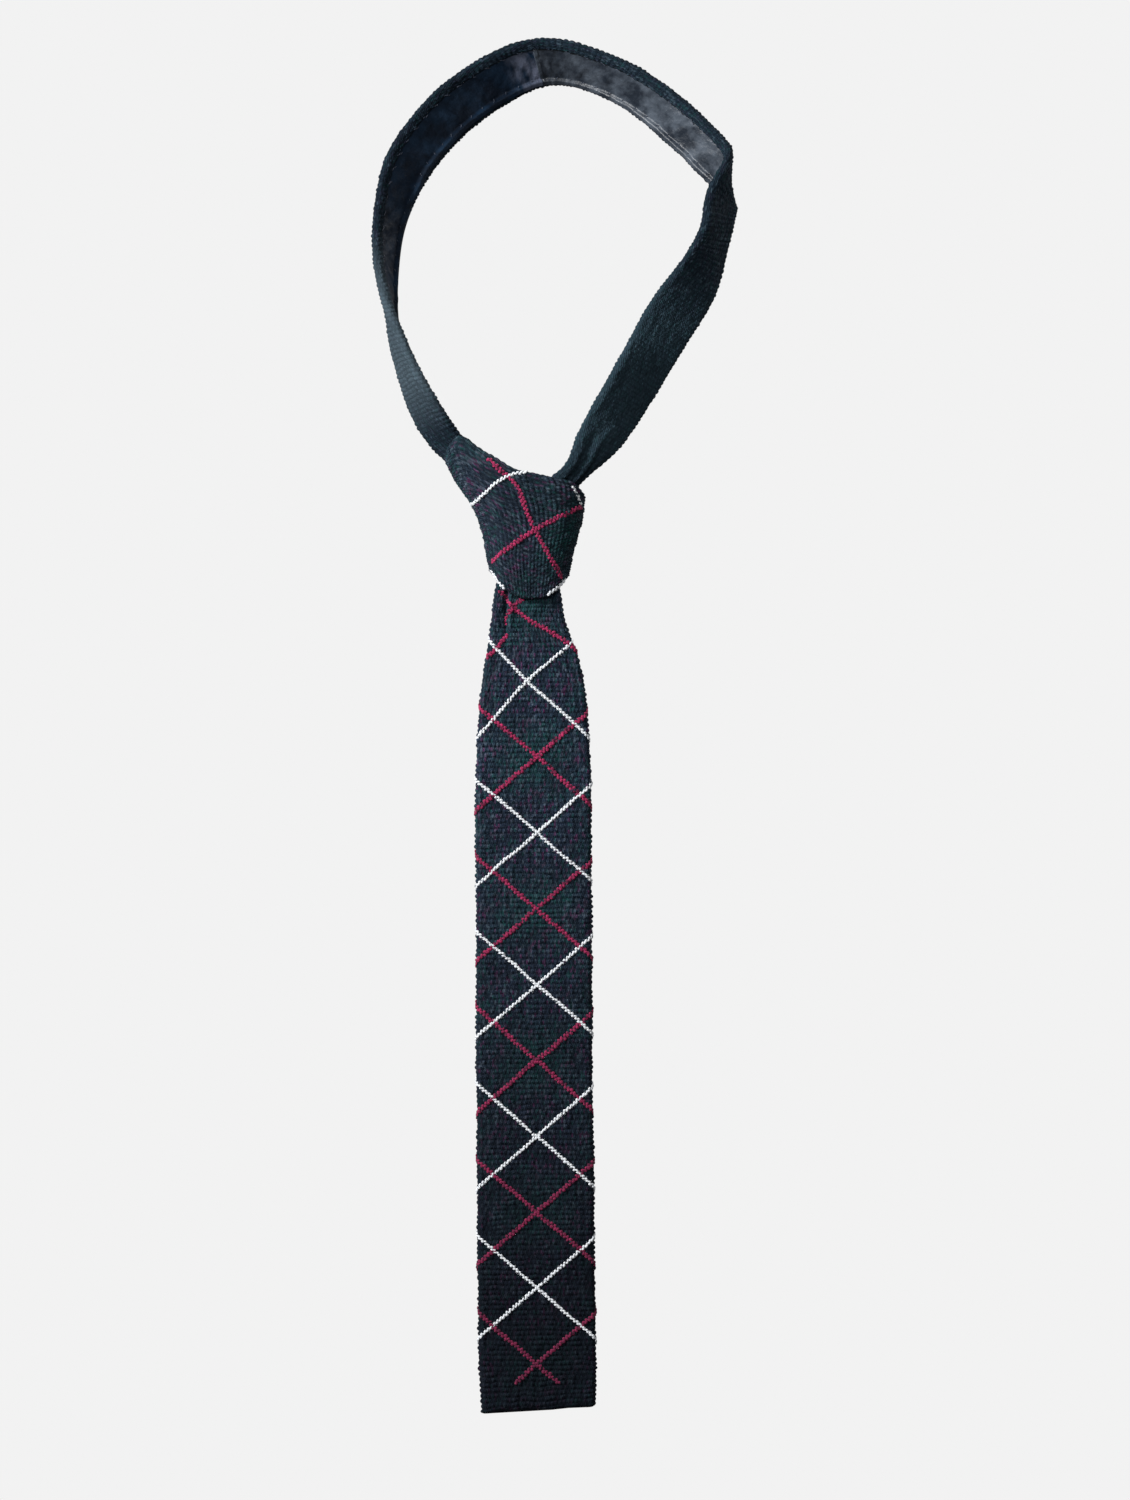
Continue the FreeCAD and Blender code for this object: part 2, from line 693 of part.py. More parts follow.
def lining_stitches(size, owner, sections):
    """Slip stitches down both sides of the lining, where the turned edge meets it."""
    plane = size.blade_plane if owner == "blade" else size.tail_plane
    base = plane + size.layers / 2
    _, top, top_place, top_width = sections[-2]
    _, low, low_place, low_width = sections[-1]
    bars = []
    height = top
    while height > low + size.hem_depth + size.stitch_gap:
        share = (top - height) / (top - low)
        place = top_place + share * (low_place - top_place)
        half = (top_width + share * (low_width - top_width)) / 2 - size.turned_edge
        for side in (-1, 1):
            x = place + side * (half + size.side_gap + size.stitch_size / 2) - size.stitch_size / 2
            corner = Vec(x, base, height - size.stitch_length)
            bars.append(Part.makeBox(size.stitch_size, size.stitch_size, size.stitch_length, corner))
        height -= size.stitch_gap
    return Part.makeCompound(bars)


def make_stitches(doc, size):
    add_feature(doc, "blade_lining_stitches", lining_stitches(size, "blade", BLADE_SECTIONS))
    add_feature(doc, "tail_lining_stitches", lining_stitches(size, "tail", TAIL_SECTIONS))


# ---------------------------------------------------------------- the whole tie

def sub_parts(doc):
    kinds = ("PartDesign::Body", "Part::Feature")
    return [item for item in doc.Objects if item.TypeId in kinds]


def check(doc):
    for item in doc.Objects:
        if "Invalid" in item.State or "Error" in item.State:
            raise RuntimeError(f"{item.Label} did not recompute: {item.State}")
    for item in sub_parts(doc):
        if item.Shape.isNull() or not item.Shape.isValid() or not item.Shape.Solids:
            raise RuntimeError(f"{item.Label} has no valid solid")


def write(doc):
    os.makedirs("parts", exist_ok=True)
    for item in sub_parts(doc):
        item.Shape.exportStep(os.path.join("parts", item.Label + ".step"))
        print(f"{item.Label}: {len(item.Shape.Solids)} solid(s), {item.Shape.Volume:.0f} mm3")


def main():
    doc = FreeCAD.newDocument("necktie")
    size = Sizes(make_sheet(doc))
    make_neck_band(doc, size)
    make_back_seam(doc, size)
    make_tail_pass(doc)
    make_knot(doc, size)
    make_knot_core(doc, size)
    make_hanging_cloth(doc, "blade", BLADE_SECTIONS)
    make_overcheck(doc, size)
    make_keeper(doc)
    make_keeper_tacks(doc, size)
    make_label(doc)
    make_bar_tack(doc, "blade_bar_tack", "{keeper_line}", "blade", "{blade_tack_top}")
    make_hanging_cloth(doc, "tail", TAIL_SECTIONS)
    make_bar_tack(doc, "tail_bar_tack", "{tail_hem_place}", "tail", "{tail_tack_top}")
    make_stitches(doc, size)
    doc.recompute()
    check(doc)
    write(doc)


main()
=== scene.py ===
import json
import math

import bpy
import numpy as np
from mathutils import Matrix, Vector


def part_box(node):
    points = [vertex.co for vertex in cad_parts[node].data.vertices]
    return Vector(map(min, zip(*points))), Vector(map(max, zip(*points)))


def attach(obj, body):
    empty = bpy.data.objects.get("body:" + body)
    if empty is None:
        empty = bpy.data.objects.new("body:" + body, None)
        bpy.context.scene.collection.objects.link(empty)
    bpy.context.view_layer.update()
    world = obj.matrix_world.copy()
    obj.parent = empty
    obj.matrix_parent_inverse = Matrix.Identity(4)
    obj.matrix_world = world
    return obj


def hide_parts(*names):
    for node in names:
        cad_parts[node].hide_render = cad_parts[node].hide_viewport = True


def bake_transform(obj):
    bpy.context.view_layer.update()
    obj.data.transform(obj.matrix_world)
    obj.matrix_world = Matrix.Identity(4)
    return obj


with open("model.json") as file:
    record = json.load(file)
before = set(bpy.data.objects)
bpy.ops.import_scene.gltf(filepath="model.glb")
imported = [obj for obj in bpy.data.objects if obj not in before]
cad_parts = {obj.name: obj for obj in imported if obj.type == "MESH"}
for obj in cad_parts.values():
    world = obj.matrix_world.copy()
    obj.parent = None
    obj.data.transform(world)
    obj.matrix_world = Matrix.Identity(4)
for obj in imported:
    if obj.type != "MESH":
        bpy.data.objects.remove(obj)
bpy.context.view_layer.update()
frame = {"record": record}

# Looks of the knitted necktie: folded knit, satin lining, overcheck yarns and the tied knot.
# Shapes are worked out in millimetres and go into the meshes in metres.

MM = 0.001

# The knit: courses that run across the cloth, and stitches along it.
RIB = 2.4
ROWS_PER_RIB = 6
RIB_HEIGHT = 0.66
NECK_RIB_HEIGHT = 0.45
STITCH = 1.9
FRONT_STEP = 0.62         # between points across the front of a strip
CROWN = 0.5               # how far a strip's front swells between its edges
UNEVEN = 0.35             # how far the cloth rises and falls beyond its courses

# The fold: thickness with everything inside, edges turned over, and the bed that the lining lies in.
LAYERS = 4.6
TURNED_EDGE = 5.0
TURNED_SHARE = 0.24       # the most of its width that a narrow strip turns over
HOLLOW = 1.5
HEM_TURN = 9.0
CORNER_RADIUS = 1.6
BAND_WIDTH = 27.0
BLADE_FULL = 55.0         # the blade's width where it isn't gathered
TAIL_FULL = 30.0
LINING_GAP = 0.4          # how far the lining goes under the turned edges

# The overcheck.
CHECK_REPEAT = 72.5
CHECK_RISE = math.radians(41.0)
CHECK_LINE = -1.5         # where the lines cross, sideways
WHITE_CROSS = -296.8
RED_CROSS = -333.2
STITCH_LEAN = 0.5         # how far a stitch turns from its line towards the rib
WHITE_YARN = {"width": 1.75, "height": 0.95, "hairs": 1.1}
RED_YARN = {"width": 2.6, "height": 0.85, "hairs": 0.2}

# The knot.
KNOT_ROUND = 2.7          # exponent of its rounded outline seen from above
KNOT_RIBS = 62            # round it
KNOT_SPAN = 52.0          # the wrap's cloth from its lower edge to its upper one
WRAP_CLOTH = 4.0

# ---- places read from the frame


def box_mm(node):
    low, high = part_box(node)
    return [value / MM for value in low], [value / MM for value in high]


def box_middle(node):
    low, high = box_mm(node)
    return [(low[i] + high[i]) / 2 for i in range(3)]


def joint_place(name):
    joint = next(item for item in frame["record"]["behaviour"]["joints"] if item["name"] == name)
    return [value / MM for value in joint["pos_m"]]


TAIL_HINGE = joint_place("tail_lift")
BLADE_PLANE = box_middle("blade_knit_shell")[1]
TAIL_PLANE = box_middle("tail_knit_shell")[1]
PASS_PLACE = box_middle("tail_pass_knit_shell")[0]
HEM = box_mm("blade_knit_shell")[0][2]
TAIL_HEM = box_mm("tail_knit_shell")[0][2]


def leg(stations):
    """Stations of the neck band, with the band's width and thickness where none are given."""
    return [station if len(station) > 5 else (*station, BAND_WIDTH, LAYERS) for station in stations]


# The neck band: its centre, how far its upper edge stands from its lower edge seen from the front,
# and where it narrows into the knot its width and thickness.
LEFT_LEG = leg([
    (-28.0, -102.5, -203.0, 11.0, 6.0, 14.0, 5.6),
    (-31.0, -102.0, -197.0, 12.0, 7.0, 15.0, 5.6),
    (-37.5, -101.0, -189.5, 13.0, 7.0, 15.0, 5.2),
    (-43.2, -99.8, -184.0, 13.5, 6.5, 17.0, 4.8),
    (-50.5, -96.8, -174.3, 13.0, 5.5, 22.0, 4.6),
    (-56.3, -92.0, -164.0, 11.0, 4.5),
    (-62.0, -86.5, -151.0, 7.5, 3.8),
    (-67.5, -80.0, -136.0, 4.5, 2.3),
    (-71.5, -72.5, -120.0, -1.0, 0.5),
    (-73.8, -62.0, -97.0, -9.0, -1.0),
    (-72.7, -53.0, -80.0, -13.5, 0.0),
    (-68.6, -44.0, -63.5, -18.6, 3.0),
    (-63.0, -35.0, -49.5, -21.5, 7.5),
    (-55.5, -25.5, -38.0, -20.5, 13.0),
    (-46.0, -17.0, -27.0, -19.0, 16.5),
    (-33.0, -8.0, -16.0, -17.0, 18.5),
    (-17.0, -1.5, -6.0, -12.0, 21.5),
    (-1.0, 1.8, 0.0, -6.0, 22.5),
])
RIGHT_LEG = leg([
    (-1.0, 1.8, 0.0, -6.0, 22.5),
    (12.0, 1.8, 0.0, -1.5, 21.5),
    (25.0, -0.5, -3.5, 6.0, 18.5),
    (38.0, -4.5, -9.0, 8.5, 17.5),
    (54.5, -12.5, -19.5, 10.5, 16.5),
    (68.0, -22.0, -31.0, 11.5, 17.0),
    (76.5, -29.5, -39.0, 13.0, 16.0),
    (83.0, -35.5, -46.0, 12.5, 16.0),
    (88.4, -41.0, -53.0, 5.0, 18.0),
    (89.0, -45.0, -60.0, -5.0, 16.5),
    (87.0, -48.5, -66.5, -12.0, 9.5),
    (85.3, -53.0, -76.0, -13.0, 2.0),
    (81.7, -58.5, -88.0, -15.2, 3.0),
    (75.0, -67.0, -104.0, -19.0, 11.0),
    (63.5, -76.0, -122.0, -22.0, 13.0),
    (51.0, -85.5, -144.0, -21.0, 12.0),
    (38.0, -94.0, -166.0, -20.0, 11.5),
    (26.0, -100.0, -184.8, -17.0, 7.5, 20.0, 5.2),
    (17.0, -101.0, -196.5, -9.5, 5.0, 14.2, 6.0),
    (7.0, -100.5, -205.0, -13.0, 3.5, 14.8, 6.0),
    (-3.5, -99.8, -213.0, -18.0, 0.5, 18.1, 6.0),
])

# The knot, seen from the front: how far its sides reach at each height.
KNOT_LEFT = [(-258.0, -20.5), (-235.0, -25.6), (-215.0, -31.8), (-205.0, -38.0), (-190.0, -45.6),
             (-178.0, -46.0)]
KNOT_RIGHT = [(-258.0, 10.8), (-235.0, 16.2), (-212.0, 21.0), (-195.0, 20.5), (-178.0, 20.5)]
KNOT_FRONT_DEPTH = [(-258.0, 13.8), (-240.0, 16.0), (-214.0, 18.0), (-200.0, 17.5), (-178.0, 12.0)]
KNOT_BACK_DEPTH = [(-258.0, 8.6), (-240.0, 9.2), (-214.0, 10.0), (-178.0, 10.0)]
# Its upper and lower edges, from its left side (-1) across to its right side (1).
KNOT_TOP_FRONT = [(-1.0, -188.5), (-0.9, -182.0), (-0.8, -179.6), (-0.6, -183.5), (-0.3, -189.6),
                  (0.0, -195.4), (0.3, -197.4), (0.5, -199.0), (0.75, -200.8), (0.93, -203.4), (1.0, -206.5)]
KNOT_TOP_BACK = [(-1.0, -188.5), (-0.9, -193.0), (-0.6, -197.0), (0.0, -199.0), (0.6, -203.0),
                 (0.9, -206.0), (1.0, -206.5)]
KNOT_FOOT_FRONT = [(-1.0, -246.0), (-0.85, -251.0), (-0.6, -255.0), (-0.3, -257.2), (0.0, -257.6),
                   (0.4, -257.2), (0.7, -254.5), (0.9, -251.0), (1.0, -248.5)]
KNOT_FOOT_BACK = [(-1.0, -246.0), (-0.8, -251.0), (0.0, -254.5), (0.8, -251.0), (1.0, -248.5)]

# Overcheck lines, each a run of points across and up: where the blade is gathered, and on the knot.
THROAT_RED = [
    [(-19.1, -253.3), (-16.2, -257.2), (-12.9, -261.5), (0.5, -270.8), (14.3, -279.6), (19.5, -283.6)],
    [(-7.2, -256.7), (-12.9, -261.5), (-15.2, -265.4), (-16.7, -270.0)],
    [(-15.3, -274.9), (-18.4, -278.2), (-21.5, -282.0), (-25.6, -285.6)],
]
THROAT_WHITE = [
    [(-25.6, -275.4), (-24.4, -277.2), (-16.0, -286.4), (-6.2, -296.8), (8.5, -309.8), (22.5, -322.7),
     (26.5, -326.4)],
    [(16.6, -277.4), (12.4, -281.0), (3.4, -288.6), (-6.2, -296.8), (-18.6, -310.8), (-29.6, -323.6),
     (-31.8, -326.4)],
]
KNOT_WHITE = [
    [(-34.5, -214.0), (-30.0, -210.5), (-26.3, -207.2), (-19.5, -201.5), (-12.4, -197.8), (-6.0, -197.2)],
    [(-23.6, -243.6), (-20.5, -248.0), (-16.5, -252.6)],
    [(3.6, -255.4), (8.2, -252.2), (12.0, -248.2)],
    [(15.6, -203.8), (17.8, -208.0), (19.5, -212.8)],
]
KNOT_RED = [
    [(-24.4, -190.5), (-18.5, -196.4), (-12.4, -202.0), (-7.3, -213.0), (-2.4, -224.7), (3.6, -235.6),
     (10.5, -247.6)],
    [(-22.9, -240.2), (-14.0, -232.4), (-2.4, -224.7), (9.0, -218.6), (20.0, -213.6)],
]

# ---- small numeric tools

NOISE_CELLS = 64


def spline(knots, values, at):
    """A natural cubic curve through values at knots, read at the given places."""
    knots = np.asarray(knots, float)
    values = np.asarray(values, float)
    flat = values.ndim == 1
    if flat:
        values = values[:, None]
    count = len(knots)
    gaps = np.diff(knots)
    system = np.eye(count)
    bends = np.zeros_like(values)
    for i in range(1, count - 1):
        system[i, i - 1:i + 2] = gaps[i - 1], 2 * (gaps[i - 1] + gaps[i]), gaps[i]
        bends[i] = 6 * ((values[i + 1] - values[i]) / gaps[i] - (values[i] - values[i - 1]) / gaps[i - 1])
    bends = np.linalg.solve(system, bends)
    at = np.asarray(at, float)
    i = np.clip(np.searchsorted(knots, at) - 1, 0, count - 2)
    gap = gaps[i][:, None]
    right = (at[:, None] - knots[i][:, None]) / gap
    left = 1 - right
    out = left * values[i] + right * values[i + 1]
    out += gap ** 2 / 6 * ((left ** 3 - left) * bends[i] + (right ** 3 - right) * bends[i + 1])
    return out[:, 0] if flat else out


def table(pairs, at):
    """A smooth reading of (place, value) pairs, in rising order of place."""
    places = [place for place, _ in pairs]
    clipped = np.clip(np.asarray(at, float), places[0], places[-1])
    return spline(places, [value for _, value in pairs], clipped.ravel()).reshape(clipped.shape)


def distances(path):
    """How far along a path each of its points stands."""
    hops = np.linalg.norm(np.diff(path, axis=0), axis=1)
    return np.concatenate([[0.0], np.cumsum(hops)])


def smooth_run(points, count):
    """That many places on a smooth curve through a few chosen points."""
    points = np.asarray(points, float)
    knots = distances(points)
    return spline(knots, points, np.linspace(0, knots[-1], count))


def soft_noise(x, y, seed):
    """Smooth noise from -1 to 1 that changes over a length of about 1."""
    x, y = np.broadcast_arrays(np.asarray(x, float), np.asarray(y, float))
    grid = np.random.default_rng(seed).uniform(-1, 1, (NOISE_CELLS, NOISE_CELLS))
    column, row = np.floor(x).astype(int), np.floor(y).astype(int)
    fx, fy = x - column, y - row
    fx, fy = fx * fx * (3 - 2 * fx), fy * fy * (3 - 2 * fy)

    def on_row(number):
        here = grid[column % NOISE_CELLS, number % NOISE_CELLS]
        beyond = grid[(column + 1) % NOISE_CELLS, number % NOISE_CELLS]
        return here * (1 - fx) + beyond * fx

    return on_row(row) * (1 - fy) + on_row(row + 1) * fy


def ease(value, start, end):
    """0 before start, 1 after end, smooth between."""
    share = np.clip((value - start) / (end - start), 0, 1)
    return share * share * (3 - 2 * share)


def hump(value, middle, reach):
    """1 at the middle, falling away smoothly to both sides."""
    return np.exp(-((value - middle) / reach) ** 2)


def unit(vectors):
    return vectors / np.maximum(np.linalg.norm(vectors, axis=-1, keepdims=True), 1e-9)


# ---- meshes


def new_mesh(name, points, faces, cloth=None):
    """A smooth piece from points in millimetres; cloth gives each its place in the cloth."""
    mesh = bpy.data.meshes.new(name)
    mesh.from_pydata((np.asarray(points).reshape(-1, 3) * MM).tolist(), [], faces)
    mesh.validate()
    mesh.polygons.foreach_set("use_smooth", [True] * len(mesh.polygons))
    if cloth is not None:
        layer = mesh.attributes.new("cloth", "FLOAT_VECTOR", "POINT")
        layer.data.foreach_set("vector", np.asarray(cloth, np.float32).ravel())
    mesh.update()
    piece = bpy.data.objects.new(name, mesh)
    bpy.context.collection.objects.link(piece)
    return piece


def tube_faces(rows, around):
    """Faces of a grid of rows, each a closed ring of points, with both ends closed."""
    start = (np.arange(rows - 1)[:, None] * around + np.arange(around)[None, :]).ravel()
    step = np.tile(np.roll(np.arange(around), -1) - np.arange(around), rows - 1)
    quads = np.stack([start, start + step, start + step + around, start + around], axis=1).tolist()
    last = (rows - 1) * around
    quads.append(list(range(around))[::-1])
    quads.append([last + i for i in range(around)])
    return quads


def cloth_data(across, along, relief=0.0):
    """Each point's place across and along the cloth, and its height in the knit."""
    return np.stack(np.broadcast_arrays(across, along, relief), axis=-1)


# ---- folded strips of cloth


class Strip:
    """A folded strip of cloth along a line, with its width, thickness and the way it faces."""

    def __init__(self, stations):
        self.stations = np.asarray(stations, float)
        self.knots = distances(self.stations[:, :3])
        self.fine = np.linspace(0, self.knots[-1], 4000)
        self.run = distances(spline(self.knots, self.stations[:, :3], self.fine))
        self.length = self.run[-1]

    def frames(self, along):
        """Centre, width direction, outward direction, width and thickness at distances along it."""
        at = np.interp(along, self.run, self.fine)
        rows = spline(self.knots, self.stations, at)
        ahead = spline(self.knots, self.stations[:, :3], np.clip(at + 0.4, 0, self.knots[-1]))
        behind = spline(self.knots, self.stations[:, :3], np.clip(at - 0.4, 0, self.knots[-1]))
        width = rows[:, 5]
        depth = np.sqrt(np.maximum(width ** 2 - rows[:, 3] ** 2 - rows[:, 4] ** 2, 0))
        across = unit(np.stack([rows[:, 3], -depth, rows[:, 4]], axis=1))
        outward = unit(np.cross(across, ahead - behind))
        return rows[:, :3], across, outward, width, rows[:, 6]

    def at_station(self, number):
        """How far along the strip a station stands."""
        return float(np.interp(self.knots[number], self.fine, self.run))

    def nearest(self, height):
        """How far along the strip it stands closest to a height, or to each of several."""
        along = np.linspace(0, self.length, 2000)
        heights = self.frames(along)[0][:, 2]
        gaps = np.abs(heights[:, None] - np.atleast_1d(height)[None, :])
        found = along[np.argmin(gaps, axis=0)]
        return found if np.ndim(height) else float(found[0])


def hanging(x, y, z, width, layers=LAYERS):
    """A station where a strip faces straight to the front."""
    return (x, y, z, -width, 0.0, width, layers)


def lay(frames, u, v):
    """Points at distances across and out from a strip's middle, a row for each frame."""
    centre, across, outward = frames[:3]
    return centre[:, None] + across[:, None] * u[..., None] + outward[:, None] * v[..., None]


def turned(width):
    return np.minimum(TURNED_EDGE, TURNED_SHARE * width)


def half_reach(width, layers):
    """From the middle of the front, round the edge, to the end of the turned edge."""
    radius = layers / 2
    return width / 2 - radius + math.pi * radius + turned(width) - radius


def on_section(reach, width, layers, crown):
    """Place and normal on the folded cloth's section, at a signed distance from the front's middle."""
    radius = layers / 2
    flat = width / 2 - radius
    side = np.sign(reach)
    far = np.abs(reach)
    turn = np.clip((far - flat) / radius, 0, math.pi)
    beyond = np.maximum(far - flat - math.pi * radius, 0)
    u = np.where(far < flat, reach, side * (flat + radius * np.sin(turn) - beyond))
    swell = crown * np.clip(1 - (u / (width / 2)) ** 2, 0, 1)
    v = radius * np.cos(turn) + np.where(far < flat + radius, swell, 0)
    return u, v, side * np.sin(turn), np.cos(turn)


def knit_relief(along, across, seed, rib_height):
    """Height of the knit's courses above its mean face. They wander, and are broken up stitch by stitch."""
    shift = 0.45 * soft_noise(along / 11, across / 7, seed)
    shift = shift + 0.24 * soft_noise(along / 3, across / 2.2, seed + 1)
    phase = (along + shift) / RIB
    ridge = np.abs(np.cos(math.pi * phase)) ** 0.8
    uneven = 0.7 + 0.8 * soft_noise(np.round(phase) * 0.61, across / 1.5, seed + 2)
    stitch = np.cos(2 * math.pi * (across / STITCH + 0.5 * np.mod(np.round(phase), 2)))
    return rib_height * (ridge * uneven - 0.55) + 0.22 * stitch * (0.4 + 0.6 * ridge)


def unevenness(along, across, seed):
    """How the cloth of a strip rises and falls beyond its courses."""
    return UNEVEN * soft_noise(along / 23, across / 14, seed + 5)


def hem_shape(along, finish, thickness):
    """1 along the cloth, falling to 0 round the fold at its end."""
    round_part = np.clip((along - (finish - thickness / 2)) / (thickness / 2), 0, 0.98)
    return np.sqrt(1 - round_part ** 2)


def corner_inset(from_end):
    """How far in each edge sits where the hem's corners round off."""
    near = np.clip(CORNER_RADIUS - from_end, 0, CORNER_RADIUS)
    return CORNER_RADIUS - np.sqrt(CORNER_RADIUS ** 2 - near ** 2)


def knit_strip(name, strip, seed, full_width, start=0.0, finish=None, crown=CROWN, pleat=None,
               hem_turn=0.0, skew=0.0, rib_height=RIB_HEIGHT):
    """The knit shell of a strip: front, rounded edges, turned edges and the bed for the lining.

    pleat gives its folds, hem_turn closes its end as a hem, and skew slants that hem.
    """
    finish = strip.length if finish is None else finish
    along = np.linspace(start, finish, int((finish - start) / (RIB / ROWS_PER_RIB)) + 1)
    frames = strip.frames(along)
    width, layers = frames[3:]
    rim = 0.72
    edge = np.linspace(rim, 1, 10)
    front = np.linspace(-rim, rim, int(full_width / FRONT_STEP))
    share = np.concatenate([-edge[:0:-1], front, edge[1:]])
    reach = share[None, :] * half_reach(width, layers)[:, None]
    u, v, nu, nv = on_section(reach, width[:, None], layers[:, None], crown)
    full = half_reach(full_width, LAYERS)
    across = share[None, :] * full + np.zeros_like(u)
    relief = knit_relief(along[:, None], across, seed, rib_height)
    height = relief + unevenness(along[:, None], across, seed)
    if pleat is not None:
        height += pleat(along[:, None], across)
    bed_share = np.linspace(1, -1, 7)[None, :]
    bed_u = bed_share * (width / 2 - turned(width) + 0.6)[:, None]
    hollow = HOLLOW * (1 - ease(along, finish - hem_turn - 0.8, finish - hem_turn)) if hem_turn else HOLLOW
    bed_v = (hollow - layers / 2)[:, None] + np.zeros_like(bed_u)
    bed_across = bed_share * full + np.zeros_like(bed_u)
    u = np.concatenate([u + nu * height, bed_u], axis=1)
    v = np.concatenate([v + nv * height, bed_v], axis=1)
    across = np.concatenate([across, bed_across], axis=1)
    relief = np.concatenate([relief, np.zeros_like(bed_u)], axis=1)
    if hem_turn:
        v = v * hem_shape(along, finish, LAYERS)[:, None]
        u = u * (1 - 2 * corner_inset(finish - along) / width)[:, None]
    points = lay(frames, u, v)
    points[..., 2] += skew * u * ease(along, finish - 30, finish)[:, None]
    if hem_turn:
        wave = 0.5 * soft_noise(u / 6, 0 * u, seed + 9)
        points[..., 2] += wave * ease(along, finish - 25, finish)[:, None]
    return new_mesh(name, points, tube_faces(*u.shape), cloth_data(across, along[:, None], relief))


def lining_strip(name, strip, seed, start=0.0, finish=None, wrinkle=0.32, cover=0.0):
    """Satin that lies in the hollow behind a strip, and may cover part of its lower turned edge."""
    finish = strip.length if finish is None else finish
    along = np.linspace(start, finish, int((finish - start) / 0.9) + 1)
    frames = strip.frames(along)
    width, layers = frames[3:]
    share = np.linspace(-1, 1, 44)[None, :]
    half = (width / 2 - turned(width) + LINING_GAP)[:, None]
    u = share * half + (share - 1) / 2 * cover
    climb = 1.7 * (1 - ease(u + half, -0.2, 1.2)) if cover else 0.0
    row = along[:, None]
    folds = soft_noise(row / 7 + u / 9, u / 13, seed) + 0.6 * soft_noise(row / 3.1 - u / 6, u / 5, seed + 1)
    lift = (0.35 + wrinkle * folds) * (1 - np.abs(share) ** 6) + climb
    top = (0.9 - layers / 2)[:, None] - lift
    under = (1.35 - layers / 2)[:, None] - lift
    u = np.concatenate([u, u[:, ::-1]], axis=1)
    v = np.concatenate([top, under[:, ::-1]], axis=1)
    rings = [face[::-1] for face in tube_faces(*u.shape)]
    return new_mesh(name, lay(frames, u, v), rings, cloth_data(u, row))


# ---- yarns


def stitch_shape(sides=7, rings=5):
    """A rounded stitch one unit long, wide and high, lying along x."""
    points = []
    for ring in range(rings):
        turn = math.pi * (ring + 0.5) / rings
        for side in range(sides):
            angle = 2 * math.pi * side / sides
            points.append((-math.cos(turn) / 2, math.sin(turn) * math.cos(angle) / 2,
                           math.sin(turn) * math.sin(angle) / 2))
    return np.array(points), tube_faces(rings, sides)


def yarn_line(places, normals, seed, width, height, pitch=1.0, hairs=0.0):
    """Points and faces of a row of knitted stitches, with loose hairs, along a line over the cloth."""
    run = distances(places)
    count = max(int(run[-1] / pitch), 2)
    random = np.random.default_rng(seed)
    base, shape_faces = stitch_shape()
    points, faces = [], []

    def read(values, at):
        return np.array([np.interp(at, run, values[:, i]) for i in range(3)])

    def place(at, size, turn, aside, rise):
        normal = unit(read(normals, at))
        tangent = unit(read(places, at + 0.5) - read(places, at - 0.5))
        side = unit(np.cross(normal, tangent))
        forward = tangent * math.cos(turn) + side * math.sin(turn)
        sideways = np.cross(normal, forward)
        local = base * size
        shifted = read(places, at) + side * aside + normal * rise
        offset = len(points) * len(base)
        points.append(shifted + local[:, :1] * forward + local[:, 1:2] * sideways + local[:, 2:] * normal)
        faces.extend([[index + offset for index in face] for face in shape_faces])

    for i in range(count):
        lean = STITCH_LEAN * (1 if i % 2 else 0.35) + random.uniform(-0.2, 0.2)
        size = np.array([pitch * 1.75, width * 0.72, height]) * random.uniform(0.82, 1.2, 3)
        aside = (0.16 if i % 2 else -0.16) * width + random.uniform(-0.1, 0.1) * width
        place((i + 0.5) * run[-1] / count, size, lean, aside, 0.15 * height + random.uniform(-0.12, 0.06))
    for _ in range(int(hairs * run[-1])):
        size = np.array([random.uniform(0.9, 2.0), 0.1, 0.1])
        place(random.uniform(0, run[-1]), size, random.uniform(0.7, 2.4), random.uniform(-0.5, 0.5) * width,
              0.35 * height)
    return np.concatenate(points), faces


def join_lines(name, lines):
    """One piece from several rows of stitches; its cloth attribute is each point's own place."""
    points, faces = [], []
    offset = 0
    for line_points, line_faces in lines:
        points.append(line_points)
        faces.extend([[index + offset for index in face] for face in line_faces])
        offset += len(line_points)
    points = np.concatenate(points)
    return new_mesh(name, points, faces, points)


# ---- the front blade

# Sideways, up, width and, where it isn't as usual, thickness.
BLADE_STATIONS = [
    (-4.0, -203.0, 24.0, 3.0),
    (-4.5, -222.0, 24.5, 5.0),
    (-5.2, -242.0, 27.0, 5.2),
    (-5.7, -256.0, 32.2, 5.2),
    (-5.6, -268.0, 35.6, 5.0),
    (-4.2, -280.0, 41.6, 4.8),
    (-3.2, -296.0, 48.4),
    (-3.1, -315.0, 52.4),
    (-3.0, -345.0, 55.0),
    (-3.0, -400.0, 55.2),
    (-2.7, -470.0, 55.6),
    (-2.2, -540.0, 56.2),
    (-1.5, -600.0, 56.2),
    (-0.9, -632.0, 55.6),
    (-0.7, HEM, 54.6),
]
BLADE_SEED = 11


def blade_strip():
    """The blade hangs in one plane, and inside the knot lies a little further forward."""
    rows = []
    for x, z, *size in BLADE_STATIONS:
        forward = 0.9 * float(ease(z, -262.0, -225.0))
        rows.append(hanging(x, BLADE_PLANE - forward, z, *size))
    return Strip(rows)


BLADE = blade_strip()
CHECK_OFFSET = -BLADE.nearest(WHITE_CROSS)


